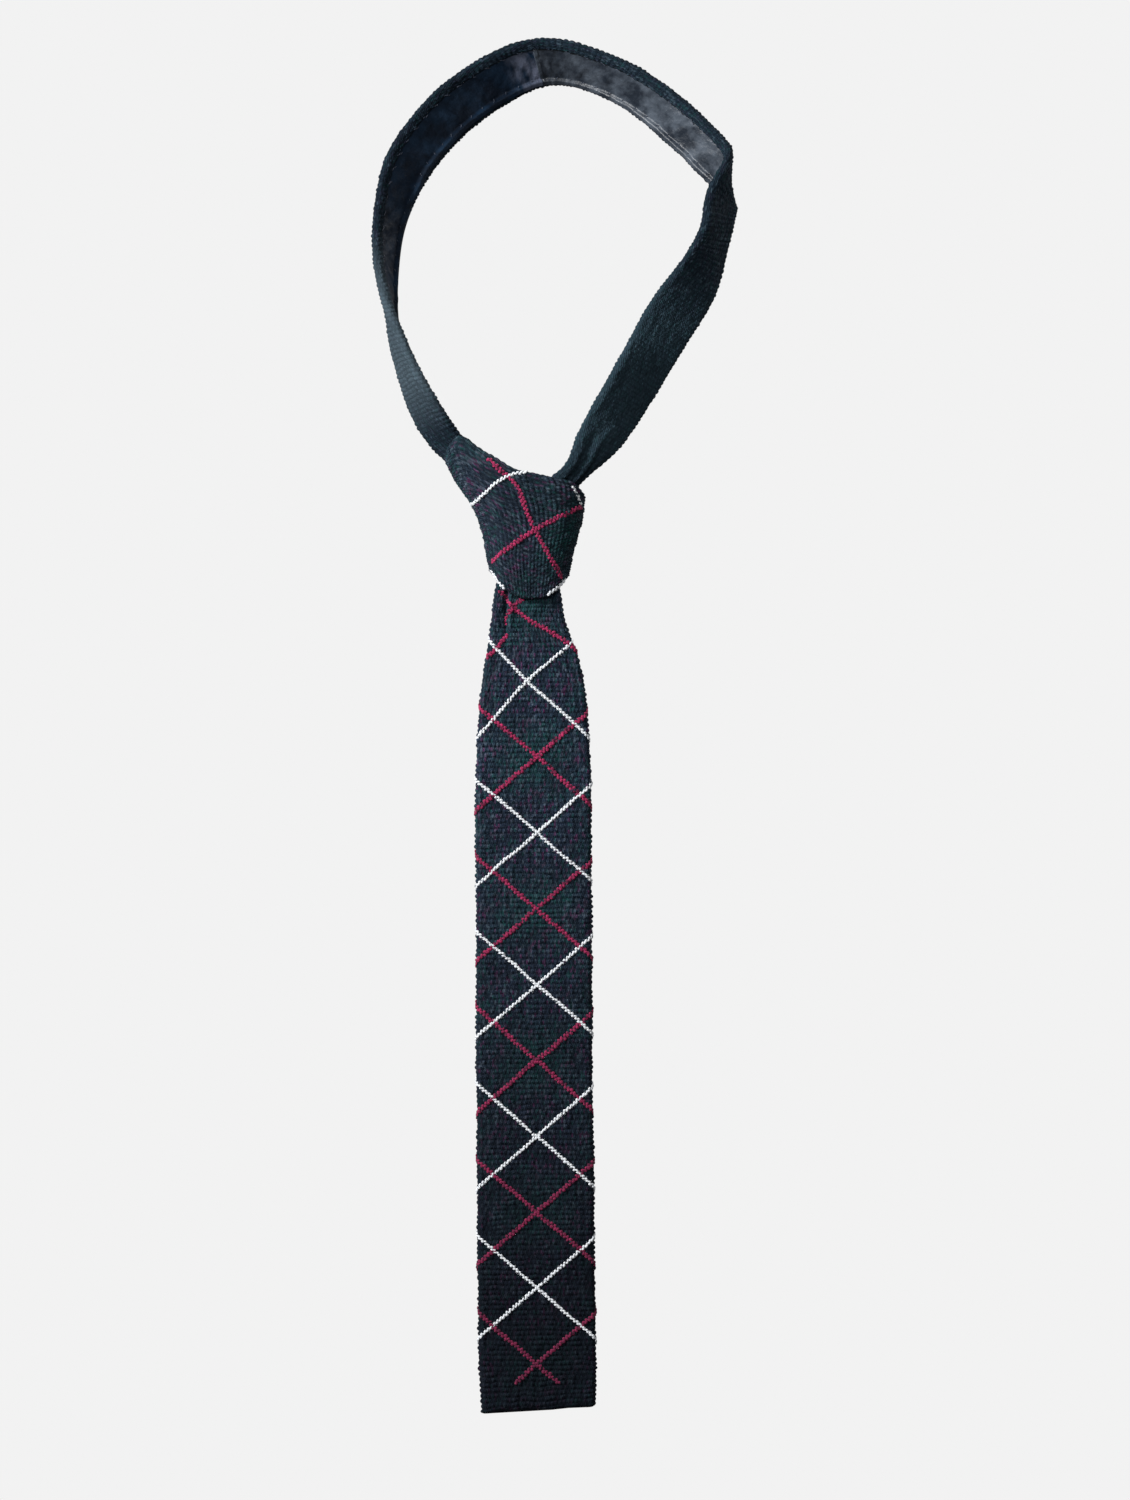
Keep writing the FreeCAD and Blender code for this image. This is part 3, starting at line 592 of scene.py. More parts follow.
def blade_pleats(along, across):
    """Gathers where the blade leaves the knot: one deep pleat left of the middle, softer ones beside it."""
    start = BLADE.nearest(-250.0)
    fade = ease(along, start - 10, start + 4) * (1 - ease(along, start + 10, start + 48))
    pleat = 1 - ease(along, start + 14, start + 36)
    deep = -2.2 * hump(across, 15.0, 1.5) * pleat
    lip = 1.2 * hump(across, 11.5, 2.4) * pleat
    soft = 0.7 * np.cos(across / 5.2 + 0.6)
    edge = np.clip(1 - (np.abs(across) / 30) ** 4, 0, 1)
    return fade * (deep + lip + soft) * edge


def blade_surface(x, z):
    """Places and normals on the blade's knit, at places across and up as seen from the front."""
    along = BLADE.nearest(z)
    centre, way, outward, width, layers = BLADE.frames(along)
    reach = (x - centre[:, 0]) * np.sign(way[:, 0])
    across = reach / half_reach(width, layers) * half_reach(BLADE_FULL, LAYERS)
    u, v, nu, nv = on_section(reach, width, layers, CROWN)
    lift = unevenness(along, across, BLADE_SEED) + blade_pleats(along, across)
    u, v = u + nu * lift, v + nv * lift
    places = centre + way * u[:, None] + outward * v[:, None]
    return places, unit(way * nu[:, None] + outward * nv[:, None])


def lines_along(runs, surface, count, seed, yarn):
    """Rows of stitches over a surface, each along its run of points across and up."""
    lines = []
    for number, run in enumerate(runs):
        path = smooth_run(run, count)
        lines.append(yarn_line(*surface(path[:, 0], path[:, 1]), seed + number, **yarn))
    return lines


def check_lines(first_cross, crosses, low, seed, yarn):
    """The crossed lines of one colour over the blade, carried round its edges."""
    lines = []
    for number in range(crosses):
        cross = first_cross - number * CHECK_REPEAT
        for side in (-1, 1):
            z = np.linspace(cross - 30.0, cross + 30.0, 120)
            x = CHECK_LINE + side * (cross - z) / math.tan(CHECK_RISE)
            x += 0.5 * soft_noise(z / 8, number + side, seed)
            centre, _, _, wide, layers = BLADE.frames(BLADE.nearest(z))
            keep = (np.abs(x - centre[:, 0]) < half_reach(wide, layers) - 0.5) & (z > low)
            lines.append(yarn_line(*blade_surface(x[keep], z[keep]), seed + 7 * number + side, **yarn))
    return lines


def make_blade():
    knit = knit_strip("blade_knit_cloth", BLADE, BLADE_SEED, BLADE_FULL, pleat=blade_pleats,
                      hem_turn=HEM_TURN, skew=-0.06)
    lining = lining_strip("blade_satin", BLADE, 31, BLADE.nearest(-240.0), BLADE.nearest(HEM + HEM_TURN))
    white = check_lines(WHITE_CROSS - CHECK_REPEAT, 4, HEM + 10.0, 100, WHITE_YARN)
    white += lines_along(THROAT_WHITE, blade_surface, 70, 150, WHITE_YARN)
    red = check_lines(RED_CROSS, 5, HEM + 12.0, 200, RED_YARN)
    red += lines_along(THROAT_RED, blade_surface, 70, 250, RED_YARN)
    return knit, lining, join_lines("blade_white_check", white), join_lines("blade_red_check", red)


# ---- the neck band and the tail

# Up, width and, where it isn't as usual, thickness.
TAIL_STATIONS = [
    (-222.0, 20.0, 6.0),
    (-260.0, 20.0, 6.0),
    (-300.0, 20.0, 5.8),
    (TAIL_HINGE[2], 20.5, 5.0),
    (-337.0, 26.0),
    (-350.0, 32.0),
    (-368.0, 36.0),
    (-410.0, 37.5),
    (TAIL_HEM, 38.0),
]
TAIL_ROWS = [hanging(PASS_PLACE, TAIL_PLANE, *row) for row in TAIL_STATIONS]
TAIL_SIDE = Strip([LEFT_LEG[-2]] + RIGHT_LEG + TAIL_ROWS)
BLADE_SIDE = Strip(LEFT_LEG + [RIGHT_LEG[1]])
TAIL_SEAM = TAIL_SIDE.at_station(1)
BLADE_SEAM = BLADE_SIDE.at_station(len(LEFT_LEG) - 1)


def throat_pleats(along, across):
    """Lengthwise gathers where the band narrows into the knot."""
    middle = TAIL_SIDE.nearest(-198.0)
    fade = ease(along, middle - 38, middle - 6) * (1 - 0.7 * ease(along, middle + 30, middle + 140))
    gathers = 0.9 * np.cos(across / 2.1 + 0.4) + 0.4 * np.cos(across / 1.2)
    return fade * gathers * np.clip(1 - (across / 22) ** 4, 0, 1)


def make_band():
    right = knit_strip("tail_side_knit", TAIL_SIDE, 41, TAIL_FULL, start=TAIL_SEAM, pleat=throat_pleats,
                       hem_turn=HEM_TURN, rib_height=NECK_RIB_HEIGHT)
    left = knit_strip("blade_side_knit", BLADE_SIDE, 61, BAND_WIDTH, finish=BLADE_SEAM,
                      rib_height=NECK_RIB_HEIGHT)
    right_lining = lining_strip("tail_side_satin", TAIL_SIDE, 81, TAIL_SEAM, TAIL_SIDE.length - HEM_TURN,
                                wrinkle=0.45, cover=2.4)
    left_lining = lining_strip("blade_side_satin", BLADE_SIDE, 91, 30.0, BLADE_SEAM, wrinkle=0.45, cover=2.4)
    return right, left, right_lining, left_lining


# ---- the knot


def signed_power(value, power):
    return np.sign(value) * np.abs(value) ** power


def knot_outline(turn, z, shrink=0.0):
    """A point round the knot at a height; turn 0 is its right side, pi its left, 3 pi / 2 its front."""
    left = table(KNOT_LEFT, z) + shrink
    right = table(KNOT_RIGHT, z) - shrink
    depth = np.where(np.sin(turn) < 0, table(KNOT_FRONT_DEPTH, z), table(KNOT_BACK_DEPTH, z)) - shrink
    x = (left + right) / 2 + (right - left) / 2 * signed_power(np.cos(turn), 2 / KNOT_ROUND)
    y = TAIL_PLANE + depth * signed_power(np.sin(turn), 2 / KNOT_ROUND)
    return np.stack([x, y, z + np.zeros_like(x)], axis=-1)


def knot_edges(turn):
    """Heights of the knot's upper and lower edges round it."""
    q = signed_power(np.cos(turn), 2 / KNOT_ROUND)
    front = np.sin(turn) < 0
    top = np.where(front, table(KNOT_TOP_FRONT, q), table(KNOT_TOP_BACK, q))
    foot = np.where(front, table(KNOT_FOOT_FRONT, q), table(KNOT_FOOT_BACK, q))
    return top, foot


def even_turns(count):
    """Angles evenly spaced round the knot's outline, how far round each stands, and the whole way round."""
    fine = np.linspace(0, 2 * math.pi, 6000)
    run = distances(knot_outline(fine, np.full_like(fine, -225.0)))
    at = np.arange(count) * run[-1] / count
    return np.interp(at, run, fine), at, run[-1]


def knot_folds(turn, share):
    """Soft dents and folds on the knot's face."""
    front = np.clip(-np.sin(turn), 0, 1)
    q = np.cos(turn)
    foot_dimple = -1.6 * hump(q, -0.1, 0.33) * np.clip(1 - share / 0.32, 0, 1) ** 2
    shoulder = 0.9 * hump(q, -0.45 + 0.5 * (share - 0.5), 0.16)
    hollow = -0.8 * hump(q, 0.28 - 0.35 * (share - 0.5), 0.15) * ease(share, 0.25, 0.9)
    return front * (foot_dimple + shoulder + hollow)


def make_knot_wrap():
    """The wrap's outer face, upper rim, inner face and lower rim, each in rows round the knot."""
    turns, run, around = even_turns(KNOT_RIBS * ROWS_PER_RIB)
    along = run * (KNOT_RIBS * RIB / around)
    top, foot = knot_edges(turns)
    radius = WRAP_CLOTH / 2
    rows = []

    def add_row(z, inset, across, relief):
        rows.append((knot_outline(turns, z, inset), across, relief))

    def face_height(share):
        return foot + radius + share * (top - foot - 2 * radius)

    def add_rim(edge, side, stitch_start):
        for angle in np.linspace(0, math.pi, 9)[1:-1]:
            relief = knit_relief(along, stitch_start + side * 3 * angle, 7, RIB_HEIGHT) * 0.8
            inset = radius * (1 - side * np.cos(angle)) - side * relief * np.cos(angle)
            z = edge - side * radius + side * radius * np.sin(angle)
            over = angle if side > 0 else math.pi - angle
            add_row(z + side * relief * np.sin(angle), inset, side * (KNOT_SPAN / 2 + over * radius), relief)

    for share in np.linspace(0, 1, 90):
        relief = knit_relief(along, share * KNOT_SPAN, 7, RIB_HEIGHT)
        swell = relief + knot_folds(turns, share) + 0.4 * soft_noise(run / 17, share * 3, 9)
        add_row(face_height(share), -swell, (share - 0.5) * KNOT_SPAN, relief)
    add_rim(top, 1, KNOT_SPAN)
    for share in np.linspace(1, 0, 10):
        across = KNOT_SPAN / 2 + 6 + (1 - share) * KNOT_SPAN
        add_row(face_height(share), WRAP_CLOTH, across, np.zeros_like(run))
    add_rim(foot, -1, 0.0)

    outlines, across, reliefs = zip(*rows)
    points = np.stack(outlines, axis=1)
    index = np.arange(points[..., 0].size).reshape(points.shape[:2])
    ahead, up = np.roll(index, -1, axis=0), np.roll(index, -1, axis=1)
    faces = np.stack([index, ahead, np.roll(ahead, -1, axis=1), up], axis=-1).reshape(-1, 4).tolist()
    cloth = cloth_data(np.array(across), along[:, None], np.stack(reliefs, axis=1))
    return new_mesh("knot_wrap_cloth", points, faces, cloth)


def knot_face(x, z):
    """Places and normals on the front of the knot, found from a place across and a height."""
    left, right = table(KNOT_LEFT, z), table(KNOT_RIGHT, z)
    q = np.clip((x - (left + right) / 2) / ((right - left) / 2), -0.999, 0.999)
    turn = 2 * math.pi - np.arccos(signed_power(q, KNOT_ROUND / 2))
    top, foot = knot_edges(turn)
    relief = knot_folds(turn, np.clip((z - foot) / (top - foot), 0, 1))
    step = 0.02
    side = knot_outline(turn + step, z, -relief) - knot_outline(turn - step, z, -relief)
    up = knot_outline(turn, z + 0.5, -relief) - knot_outline(turn, z - 0.5, -relief)
    return knot_outline(turn, z, -relief), unit(np.cross(side, up))


def make_inner_turn():
    """The blade side's cloth, folded inside the knot under the left flap."""
    low, high = box_mm("knot_inner_turn")
    x, y, z = box_middle("knot_inner_turn")
    sizes = [(3.5, low[2], 8.0, 5.0), (2.0, z, 10.0, 6.0), (0.0, high[2] - 3, 13.0, 6.0),
             (-0.5, high[2], 12.0, 3.5)]
    strip = Strip([(x + aside, y, up, width, 0.0, width, layers) for aside, up, width, layers in sizes])
    return knit_strip("inner_turn_cloth", strip, 77, 14.0, crown=0.2)


# ---- trim


def ribbon(name, path, way, width, thickness):
    """A thin flat strap along a path, with rounded long edges."""
    path = np.asarray(path, float)
    way = np.asarray(way, float)
    normal = unit(np.cross(way, unit(np.gradient(path, axis=0))))
    edge = thickness / 2
    flat = width / 2 - edge
    half = [(u, edge) for u in np.linspace(-flat, flat, 9)]
    for angle in np.linspace(0, math.pi, 5)[1:-1]:
        half.append((flat + edge * math.sin(angle), edge * math.cos(angle)))
    section = np.array(half + [(-u, -v) for u, v in half])
    points = path[:, None] + way * section[None, :, :1] + normal[:, None] * section[None, :, 1:]
    cloth = cloth_data(section[None, :, 0], np.arange(len(path))[:, None])
    return new_mesh(name, points, tube_faces(len(path), len(section)), cloth)


def make_keeper():
    """A soft satin strap that stands off the blade's back between its two feet."""
    low, high = box_mm("keeper_loop")
    x, _, z = box_middle("keeper_loop")
    foot, back, front = (high[0] - low[0]) / 2, high[1] - 0.5, low[1] + 0.45
    half = foot - 4.2
    right = [(half - 1.6, back), (half - 0.4, back - 1.3), (half, front + 1.0), (half + 1.2, front),
             (foot, front)]
    left = [(-aside, y) for aside, y in reversed(right)]
    path = smooth_run([(x + aside, y, z) for aside, y in left + [(0.0, back + 0.1)] + right], 90)
    path[:, 1] = np.clip(path[:, 1], front - 0.05, back + 0.2)
    return ribbon("keeper_strap", path, (0, 0, 1), high[2] - low[2] - 0.4, 0.8)


def make_label():
    """A blank woven label with folded ends, a little uneven."""
    low, high = box_mm("blank_label")
    margin = 0.3
    x = np.linspace(low[0] + margin, high[0] - margin, 28)
    z = np.linspace(low[2] + margin, high[2] - margin, 18)
    x, z = np.meshgrid(x, z, indexing="ij")
    lift = 0.25 + 0.12 * soft_noise(x / 5, z / 6, 3)
    outer = np.stack([x, high[1] - 0.25 + lift, z], axis=-1)
    inner = outer - np.array([0, 0.35, 0])
    rows = np.concatenate([outer, inner[:, ::-1]], axis=1)
    cloth = cloth_data(x - low[0], z - low[2])
    cloth = np.concatenate([cloth, cloth[:, ::-1]], axis=1)
    return new_mesh("woven_label", rows, tube_faces(*rows.shape[:2]), cloth)


def thread_rows(name, rows, seed, width=0.55, height=0.45, pitch=1.0):
    """Visible sewing thread: each row is a few stitches, from a start to an end, with a normal."""
    lines = []
    for number, (start, end, normal) in enumerate(rows):
        places = np.linspace(start, end, 6)
        lines.append(yarn_line(places, np.tile(normal, (6, 1)), seed + number, width, height, pitch))
    return join_lines(name, lines)


def edge_stitches(name, strip, start, finish, gap, seed):
    """Slip stitches where the turned edges meet the lining, on both sides of a strip."""
    along = np.arange(start, finish, gap)
    centre, way, outward, width, layers = strip.frames(along)
    ahead = strip.frames(along + 2.4)[0]
    rows = []
    random = np.random.default_rng(seed)
    for i in range(len(along)):
        for side in (-1, 1):
            u = side * (width[i] / 2 - turned(width[i]) - 0.1)
            slant = side * random.uniform(0.4, 0.9)
            base = outward[i] * (-layers[i] / 2 + 0.1)
            first = centre[i] + way[i] * (u + slant) + base
            second = ahead[i] + way[i] * (u - slant) + base
            rows.append((first, second, -outward[i]))
    return thread_rows(name, rows, seed)


def bar_tack(name, node):
    """Close stitches side by side over a short bar."""
    low, high = box_mm(node)
    y, z = high[1] - 0.1, box_middle(node)[2]
    rows = []
    for x in np.arange(low[0] + 0.4, high[0] - 0.2, 0.62):
        rows.append(((x, y, z - 1.1), (x + 0.2, y, z + 1.1), (0, 1, 0)))
    return thread_rows(name, rows, 15, width=0.6, height=0.6, pitch=1.1)


def keeper_tacks():
    """Three stitches side by side at each corner of the keeper's feet."""
    low, high = box_mm("keeper_tacks")
    y = high[1] + 0.1
    rows = []
    for x in (low[0] + 1.4, high[0] - 1.4):
        for corner in (low[2] + 0.4, high[2] - 0.4):
            for shift in (-0.5, 0.0, 0.5):
                z = corner + shift
                rows.append(((x - 1.3, y, z), (x + 1.3, y, z + 0.2), (0, 1, 0)))
    return thread_rows("keeper_thread", rows, 25)


def make_back_seam():
    """The ridge where the two halves of the lining are sewn together at the back of the neck."""
    centre, way, outward, width, layers = (part[0] for part in TAIL_SIDE.frames(np.array([TAIL_SEAM])))
    half = width / 2 - turned(width) + LINING_GAP
    base = centre - outward * (layers / 2 - 0.55)
    path = np.array([base + way * u for u in np.linspace(-half, half, 24)])
    path += outward * (0.12 * np.sin(np.arange(24) * 0.9))[:, None]
    return ribbon("neck_seam", path, unit(np.cross(way, outward)), 2.2, 0.9)


# ---- materials


class Nodes:
    """Short names for building a material's nodes."""

    def __init__(self, name):
        self.material = bpy.data.materials.new(name)
        self.material.use_nodes = True
        self.tree = self.material.node_tree

    def link(self, value, socket):
        if hasattr(value, "is_output"):
            self.tree.links.new(value, socket)
        else:
            socket.default_value = value

    def add(self, kind, inputs, **settings):
        """A node's outputs, once its inputs are filled with numbers or with other nodes' outputs."""
        node = self.tree.nodes.new("ShaderNode" + kind)
        for key, value in settings.items():
            setattr(node, key, value)
        for socket, value in inputs.items():
            self.link(value, node.inputs[socket])
        return node.outputs

    def surface(self, **values):
        """The material, once its shader's own sockets are filled; their names have _ for a space."""
        shader = self.tree.nodes["Principled BSDF"]
        for socket, value in values.items():
            self.link(value, shader.inputs[socket.replace("_", " ")])
        return self.material

    def sum(self, operation, first, second=0.0, third=0.0, clamp=False):
        inputs = {0: first, 1: second, 2: third}
        return self.add("Math", inputs, operation=operation, use_clamp=clamp)[0]

    def plus(self, first, second):
        return self.sum("ADD", first, second)

    def times(self, first, second):
        return self.sum("MULTIPLY", first, second)

    def level(self, value, gain, start):
        """From 0 to 1 as the value rises."""
        return self.sum("MULTIPLY_ADD", value, gain, start, clamp=True)

    def away(self, value, place):
        """How far a value is from a place, to either side."""
        return self.sum("ABSOLUTE", self.sum("SUBTRACT", value, place))

    def cloth(self):
        return self.add("Attribute", {}, attribute_name="cloth")["Vector"]

    def parts(self, vector):
        return self.add("SeparateXYZ", {0: vector})

    def vector(self, x, y):
        return self.add("CombineXYZ", {0: x, 1: y})[0]

    def mix(self, factor, first, second):
        return self.add("Mix", {"Factor": factor, 6: first, 7: second}, data_type="RGBA")[2]

    def steps(self, value, stops):
        """A colour that changes at once at each stop's place."""
        outputs = self.add("ValToRGB", {0: value})
        ramp = self.tree.nodes[-1].color_ramp
        ramp.interpolation = "CONSTANT"
        while len(ramp.elements) < len(stops):
            ramp.elements.new(0.5)
        for element, (place, colour) in zip(ramp.elements, stops):
            element.position = place
            element.color = colour
        return outputs[0]

    def noise(self, vector, scale, detail=2.0, roughness=0.5):
        inputs = {"Vector": vector, "Scale": scale, "Detail": detail, "Roughness": roughness}
        return self.add("TexNoise", inputs)[0]

    def bump(self, height, strength, distance, **normal):
        inputs = {"Strength": strength, "Distance": distance, "Height": height}
        return self.add("Bump", {**inputs, **normal})[0]


def paint(red, green, blue):
    """A display colour from 0 to 255, as the linear colour that a socket holds."""
    linear = []
    for part in (red, green, blue):
        part = part / 255
        linear.append(part / 12.92 if part <= 0.04045 else ((part + 0.055) / 1.055) ** 2.4)
    return (*linear, 1.0)


def knit_material(name, tones, check=False, shade_tone_at_hem=None, painted_light=None):
    """Heathered knit: a colour for each stitch, painted shade in the grooves between the ribs, and the
    tartan of the ground.

    tones are the dark, middle, light, green and plum stitches. The tone for the hem is painted shade that
    darkens the cloth towards the hem.
    The paler stretch is painted light where the light falls on the cloth: its tone, the most of it, where
    along the cloth it lies and how far it reaches.
    """
    n = Nodes(name)
    dark, middle, light, green, plum = (paint(*tone) for tone in tones)
    across, along, relief = n.parts(n.cloth())
    column = n.sum("FLOOR", n.sum("DIVIDE", across, STITCH / 2))
    odd = n.sum("MODULO", column, 2.0)
    course = n.sum("FLOOR", n.plus(n.sum("DIVIDE", along, RIB * 0.8), n.times(odd, 0.5)))
    cell = n.add("TexWhiteNoise", {"Vector": n.vector(column, course)}, noise_dimensions="2D")["Value"]
    heather = n.steps(cell, [(0.0, dark), (0.34, middle), (0.66, light), (0.78, green), (0.91, plum)])
    base = n.mix(0.42, heather, middle)
    if check:
        base = tartan(n, base, across, along, cell, green, plum)
    cloudy = n.noise(n.vector(across, along), 0.05)
    base = n.mix(n.level(cloudy, 1.1, -0.3), base, dark)
    fibre = n.noise(n.vector(n.times(across, 2.2), n.times(along, 1.2)), 1.0, 3.0, 0.6)
    base = n.mix(n.level(fibre, 2.4, -1.16), base, light)
    wale = n.sum("COSINE", n.times(across, 2 * math.pi / STITCH))
    base = n.mix(n.level(wale, 0.34, 0.1), base, dark)
    # painted shade: the cloth darkens towards the hem
    if shade_tone_at_hem is not None:
        hem_shade = n.level(along, 1 / 260.0, -0.5)
        base = n.mix(n.times(hem_shade, 0.8), base, paint(*shade_tone_at_hem))
    # painted light: a paler stretch where the light falls on the cloth
    if painted_light is not None:
        tone, most, place, reach = painted_light
        near = n.level(n.away(along, place), -1.8 / reach, 1.8)
        base = n.mix(n.times(near, most), base, paint(*tone))
    # painted shade in the grooves between the ribs
    groove_shade = n.times(n.level(relief, -1.5, 0.2), n.level(fibre, 2.2, -0.5))
    base = n.mix(groove_shade, base, paint(4, 8, 14))
    turn = n.plus(n.times(across, 4 * math.pi / STITCH), n.times(along, 2.2))
    height = n.plus(n.times(n.sum("SINE", turn), 0.3), n.times(fibre, 1.6))
    return n.surface(Base_Color=base, Normal=n.bump(height, 0.8, 0.0004), Roughness=0.95,
                     Specular_IOR_Level=0.1, Sheen_Weight=0.05, Sheen_Roughness=0.5,
                     Sheen_Tint=paint(120, 140, 155))


def tartan(n, base, across, along, cell, green, plum):
    """Soft bands of green and plum between the overcheck lines, speckled stitch by stitch."""
    waves = []
    for side in (-1, 1):
        place = n.plus(n.plus(along, n.times(across, side * math.tan(CHECK_RISE))), CHECK_OFFSET)
        waves.append(n.sum("COSINE", n.times(place, 2 * math.pi / CHECK_REPEAT)))
    greenness = n.level(n.plus(*waves), -0.3, 0.18)
    plumness = n.level(n.sum("ABSOLUTE", waves[0]), -0.9, 0.5)
    speckle = n.sum("MULTIPLY_ADD", n.sum("GREATER_THAN", cell, 0.4), 0.6, 0.3)
    base = n.mix(n.times(greenness, speckle), base, green)
    return n.mix(n.times(plumness, n.sum("GREATER_THAN", cell, 0.72)), base, plum)


def yarn_material(name, colour, deep, fade):
    """Fuzzy yarn: streaks along its twist, some deeper stitches, and painted shade that darkens it all over
    towards the hem.
    """
    n = Nodes(name)
    # fade sets the strength of the deeper stitches and of the painted shade towards the hem
    colour, deep = paint(*colour), paint(*deep)
    place = n.cloth()
    streaks = n.noise(place, 1.9, 4.0, 0.65)
    patches = n.noise(place, 0.5, 1.0, 0.4)
    base = n.mix(n.level(streaks, 3.4, -1.3), deep, colour)
    base = n.mix(n.level(patches, -5.0 * fade, 2.5 * fade), base, deep)
    # painted shade: the yarn darkens towards the hem
    hem_shade = n.level(n.parts(place)[2], -fade / 330.0, -fade * 0.95)
    return n.surface(Base_Color=n.mix(n.times(hem_shade, 0.7), base, deep), Normal=n.bump(streaks, 0.6, 0.0004),
                     Roughness=0.85, Specular_IOR_Level=0.2, Sheen_Weight=0.12, Sheen_Roughness=0.5)


def satin_material(name, colour, shadow, seam=0.0, seam_light_and_shade=None, gloss=0.5):
    """Satin: fine floats across it, soft creases, patches of painted shade, a silky gloss and, if asked, a
    band beside its seam painted in a tone of its own: darker as painted shade, paler as a painted highlight.
    """
    n = Nodes(name)
    colour, shadow = paint(*colour), paint(*shadow)
    across, along, _ = n.parts(n.cloth())
    flat = n.vector(across, along)
    floats = n.noise(n.vector(n.times(across, 0.9), n.times(along, 9.0)), 1.0)
    # patches of painted shade and painted highlight across the satin
    shade = n.mix(n.level(n.noise(flat, 0.08, 3.0, 0.6), 4.0, -1.55), shadow, colour)
    shade = n.mix(n.level(floats, 0.4, -0.16), shade, colour)
    if seam_light_and_shade is not None:
        # painted light beside the seam: shade on the tail side's lining, a highlight on the blade side's
        near = n.level(n.away(along, seam), -1 / 12.0, 1.5)
        seam_light_streak = n.noise(n.vector(n.times(across, 0.5), along), 0.2)
        shade = n.mix(n.times(near, n.level(seam_light_streak, 4.0, -1.4)), shade, paint(*seam_light_and_shade))
    creases = n.bump(n.noise(flat, 0.35, 4.0, 0.55), 0.5, 0.0012)
    return n.surface(Base_Color=shade, Normal=n.bump(floats, 0.25, 0.0001, Normal=creases),
                     Roughness=n.sum("MULTIPLY_ADD", floats, 0.16, 0.72 - 0.76 * gloss),
                     Specular_IOR_Level=gloss, Anisotropic=0.5, Sheen_Weight=gloss * 0.2,
                     Sheen_Tint=paint(150, 150, 175))


def thread_material():
    """Sewing thread with a slight streak."""
    n = Nodes("navy_thread")
    streaks = n.noise(n.cloth(), 3.0, 3.0, 0.6)
    return n.surface(Base_Color=n.mix(streaks, paint(24, 30, 42), paint(70, 78, 96)),
                     Normal=n.bump(streaks, 0.5, 0.0002), Roughness=0.55)


def label_material():
    """A plain woven label: a fine plain weave with nothing on it."""
    n = Nodes("woven_label")
    across, along, _ = n.parts(n.cloth())
    weave = n.times(n.sum("SINE", n.times(across, 12.0)), n.sum("SINE", n.times(along, 12.0)))
    base = n.mix(n.level(weave, 0.25, 0.5), paint(38, 44, 60), paint(58, 66, 84))
    return n.surface(Base_Color=base, Normal=n.bump(weave, 0.4, 0.0002), Roughness=0.6)


def make_looks():
    """Every material of the tie."""
    return {
        # the blade knit carries painted shade that darkens it towards its hem
        "blade knit": knit_material(
            "navy_tartan_knit", [(12, 20, 36), (42, 56, 76), (102, 116, 132), (16, 84, 78), (104, 40, 92)],
            check=True, shade_tone_at_hem=(8, 8, 16)),
        # the neck knit carries a stretch of painted light on the lower right leg
        "right knit": knit_material(
            "navy_knit_neck", [(12, 22, 34), (28, 44, 56), (74, 92, 104), (20, 62, 62), (44, 40, 62)],
            painted_light=((58, 80, 90), 0.4, TAIL_SIDE.nearest(-155.0), 75.0)),
        # a darker copy of the neck knit as painted shade, with a stretch of painted light on the lower left
        # leg
        "left knit": knit_material(
            "navy_knit_left_leg_shaded_and_lit", [(8, 16, 26), (24, 38, 50), (62, 78, 92), (18, 54, 56), (40, 36, 58)],
            painted_light=((90, 106, 116), 0.56, 88.0, 55.0)),
        "knot knit": knit_material(
            "navy_knit_knot", [(10, 18, 32), (42, 56, 72), (98, 112, 126), (14, 82, 74), (100, 40, 88)],
            check=True),
        "satin": satin_material("navy_satin", (76, 84, 94), (20, 28, 38)),
        # painted shade on the lining beside the back seam
        "right satin": satin_material(
            "navy_satin_right", (76, 84, 94), (22, 30, 40), seam=TAIL_SEAM, seam_light_and_shade=(18, 26, 36)),
        # a darker copy of the satin as painted shade, with a painted highlight beside the back seam
        "left satin": satin_material(
            "navy_satin_left_shaded", (20, 40, 60), (8, 20, 34), seam=BLADE_SEAM, seam_light_and_shade=(96, 102, 120),
            gloss=0.15),
        "white": yarn_material("white_yarn", (254, 255, 255), (212, 218, 226), 0.0),
        # the red yarn carries painted shade that darkens it towards the hem
        "red": yarn_material("red_yarn", (222, 56, 114), (78, 22, 50), 1.0),
        "thread": thread_material(),
        "label": label_material(),
    }


LOOKS = make_looks()

# ---- light, floor and camera

FLOOR_RADIUS = 9000.0
FLOOR_LEVEL = -860.0
FLOOR_SIDES = 96


def area_light(name, place, target, size, power):
    light = bpy.data.lights.new(name, "AREA")
    light.shape = "DISK"
    light.size = size
    light.energy = power
    lamp = bpy.data.objects.new(name, light)
    bpy.context.collection.objects.link(lamp)
    lamp.location = place
    lamp.rotation_euler = (lamp.location - Vector(target)).to_track_quat("Z", "Y").to_euler()


def make_world():
    """A pale backdrop that lights the tie much less than it looks."""
    world = bpy.data.worlds.new("studio")
    bpy.context.scene.world = world
    world.use_nodes = True
    nodes, links = world.node_tree.nodes, world.node_tree.links
    background = nodes["Background"]
    background.inputs["Color"].default_value = paint(242, 242, 242)
    path = nodes.new("ShaderNodeLightPath")
    strength = nodes.new("ShaderNodeMapRange")
    strength.inputs["To Min"].default_value = 0.16
    strength.inputs["To Max"].default_value = 1.0
    links.new(path.outputs["Is Camera Ray"], strength.inputs["Value"])
    links.new(strength.outputs["Result"], background.inputs["Strength"])


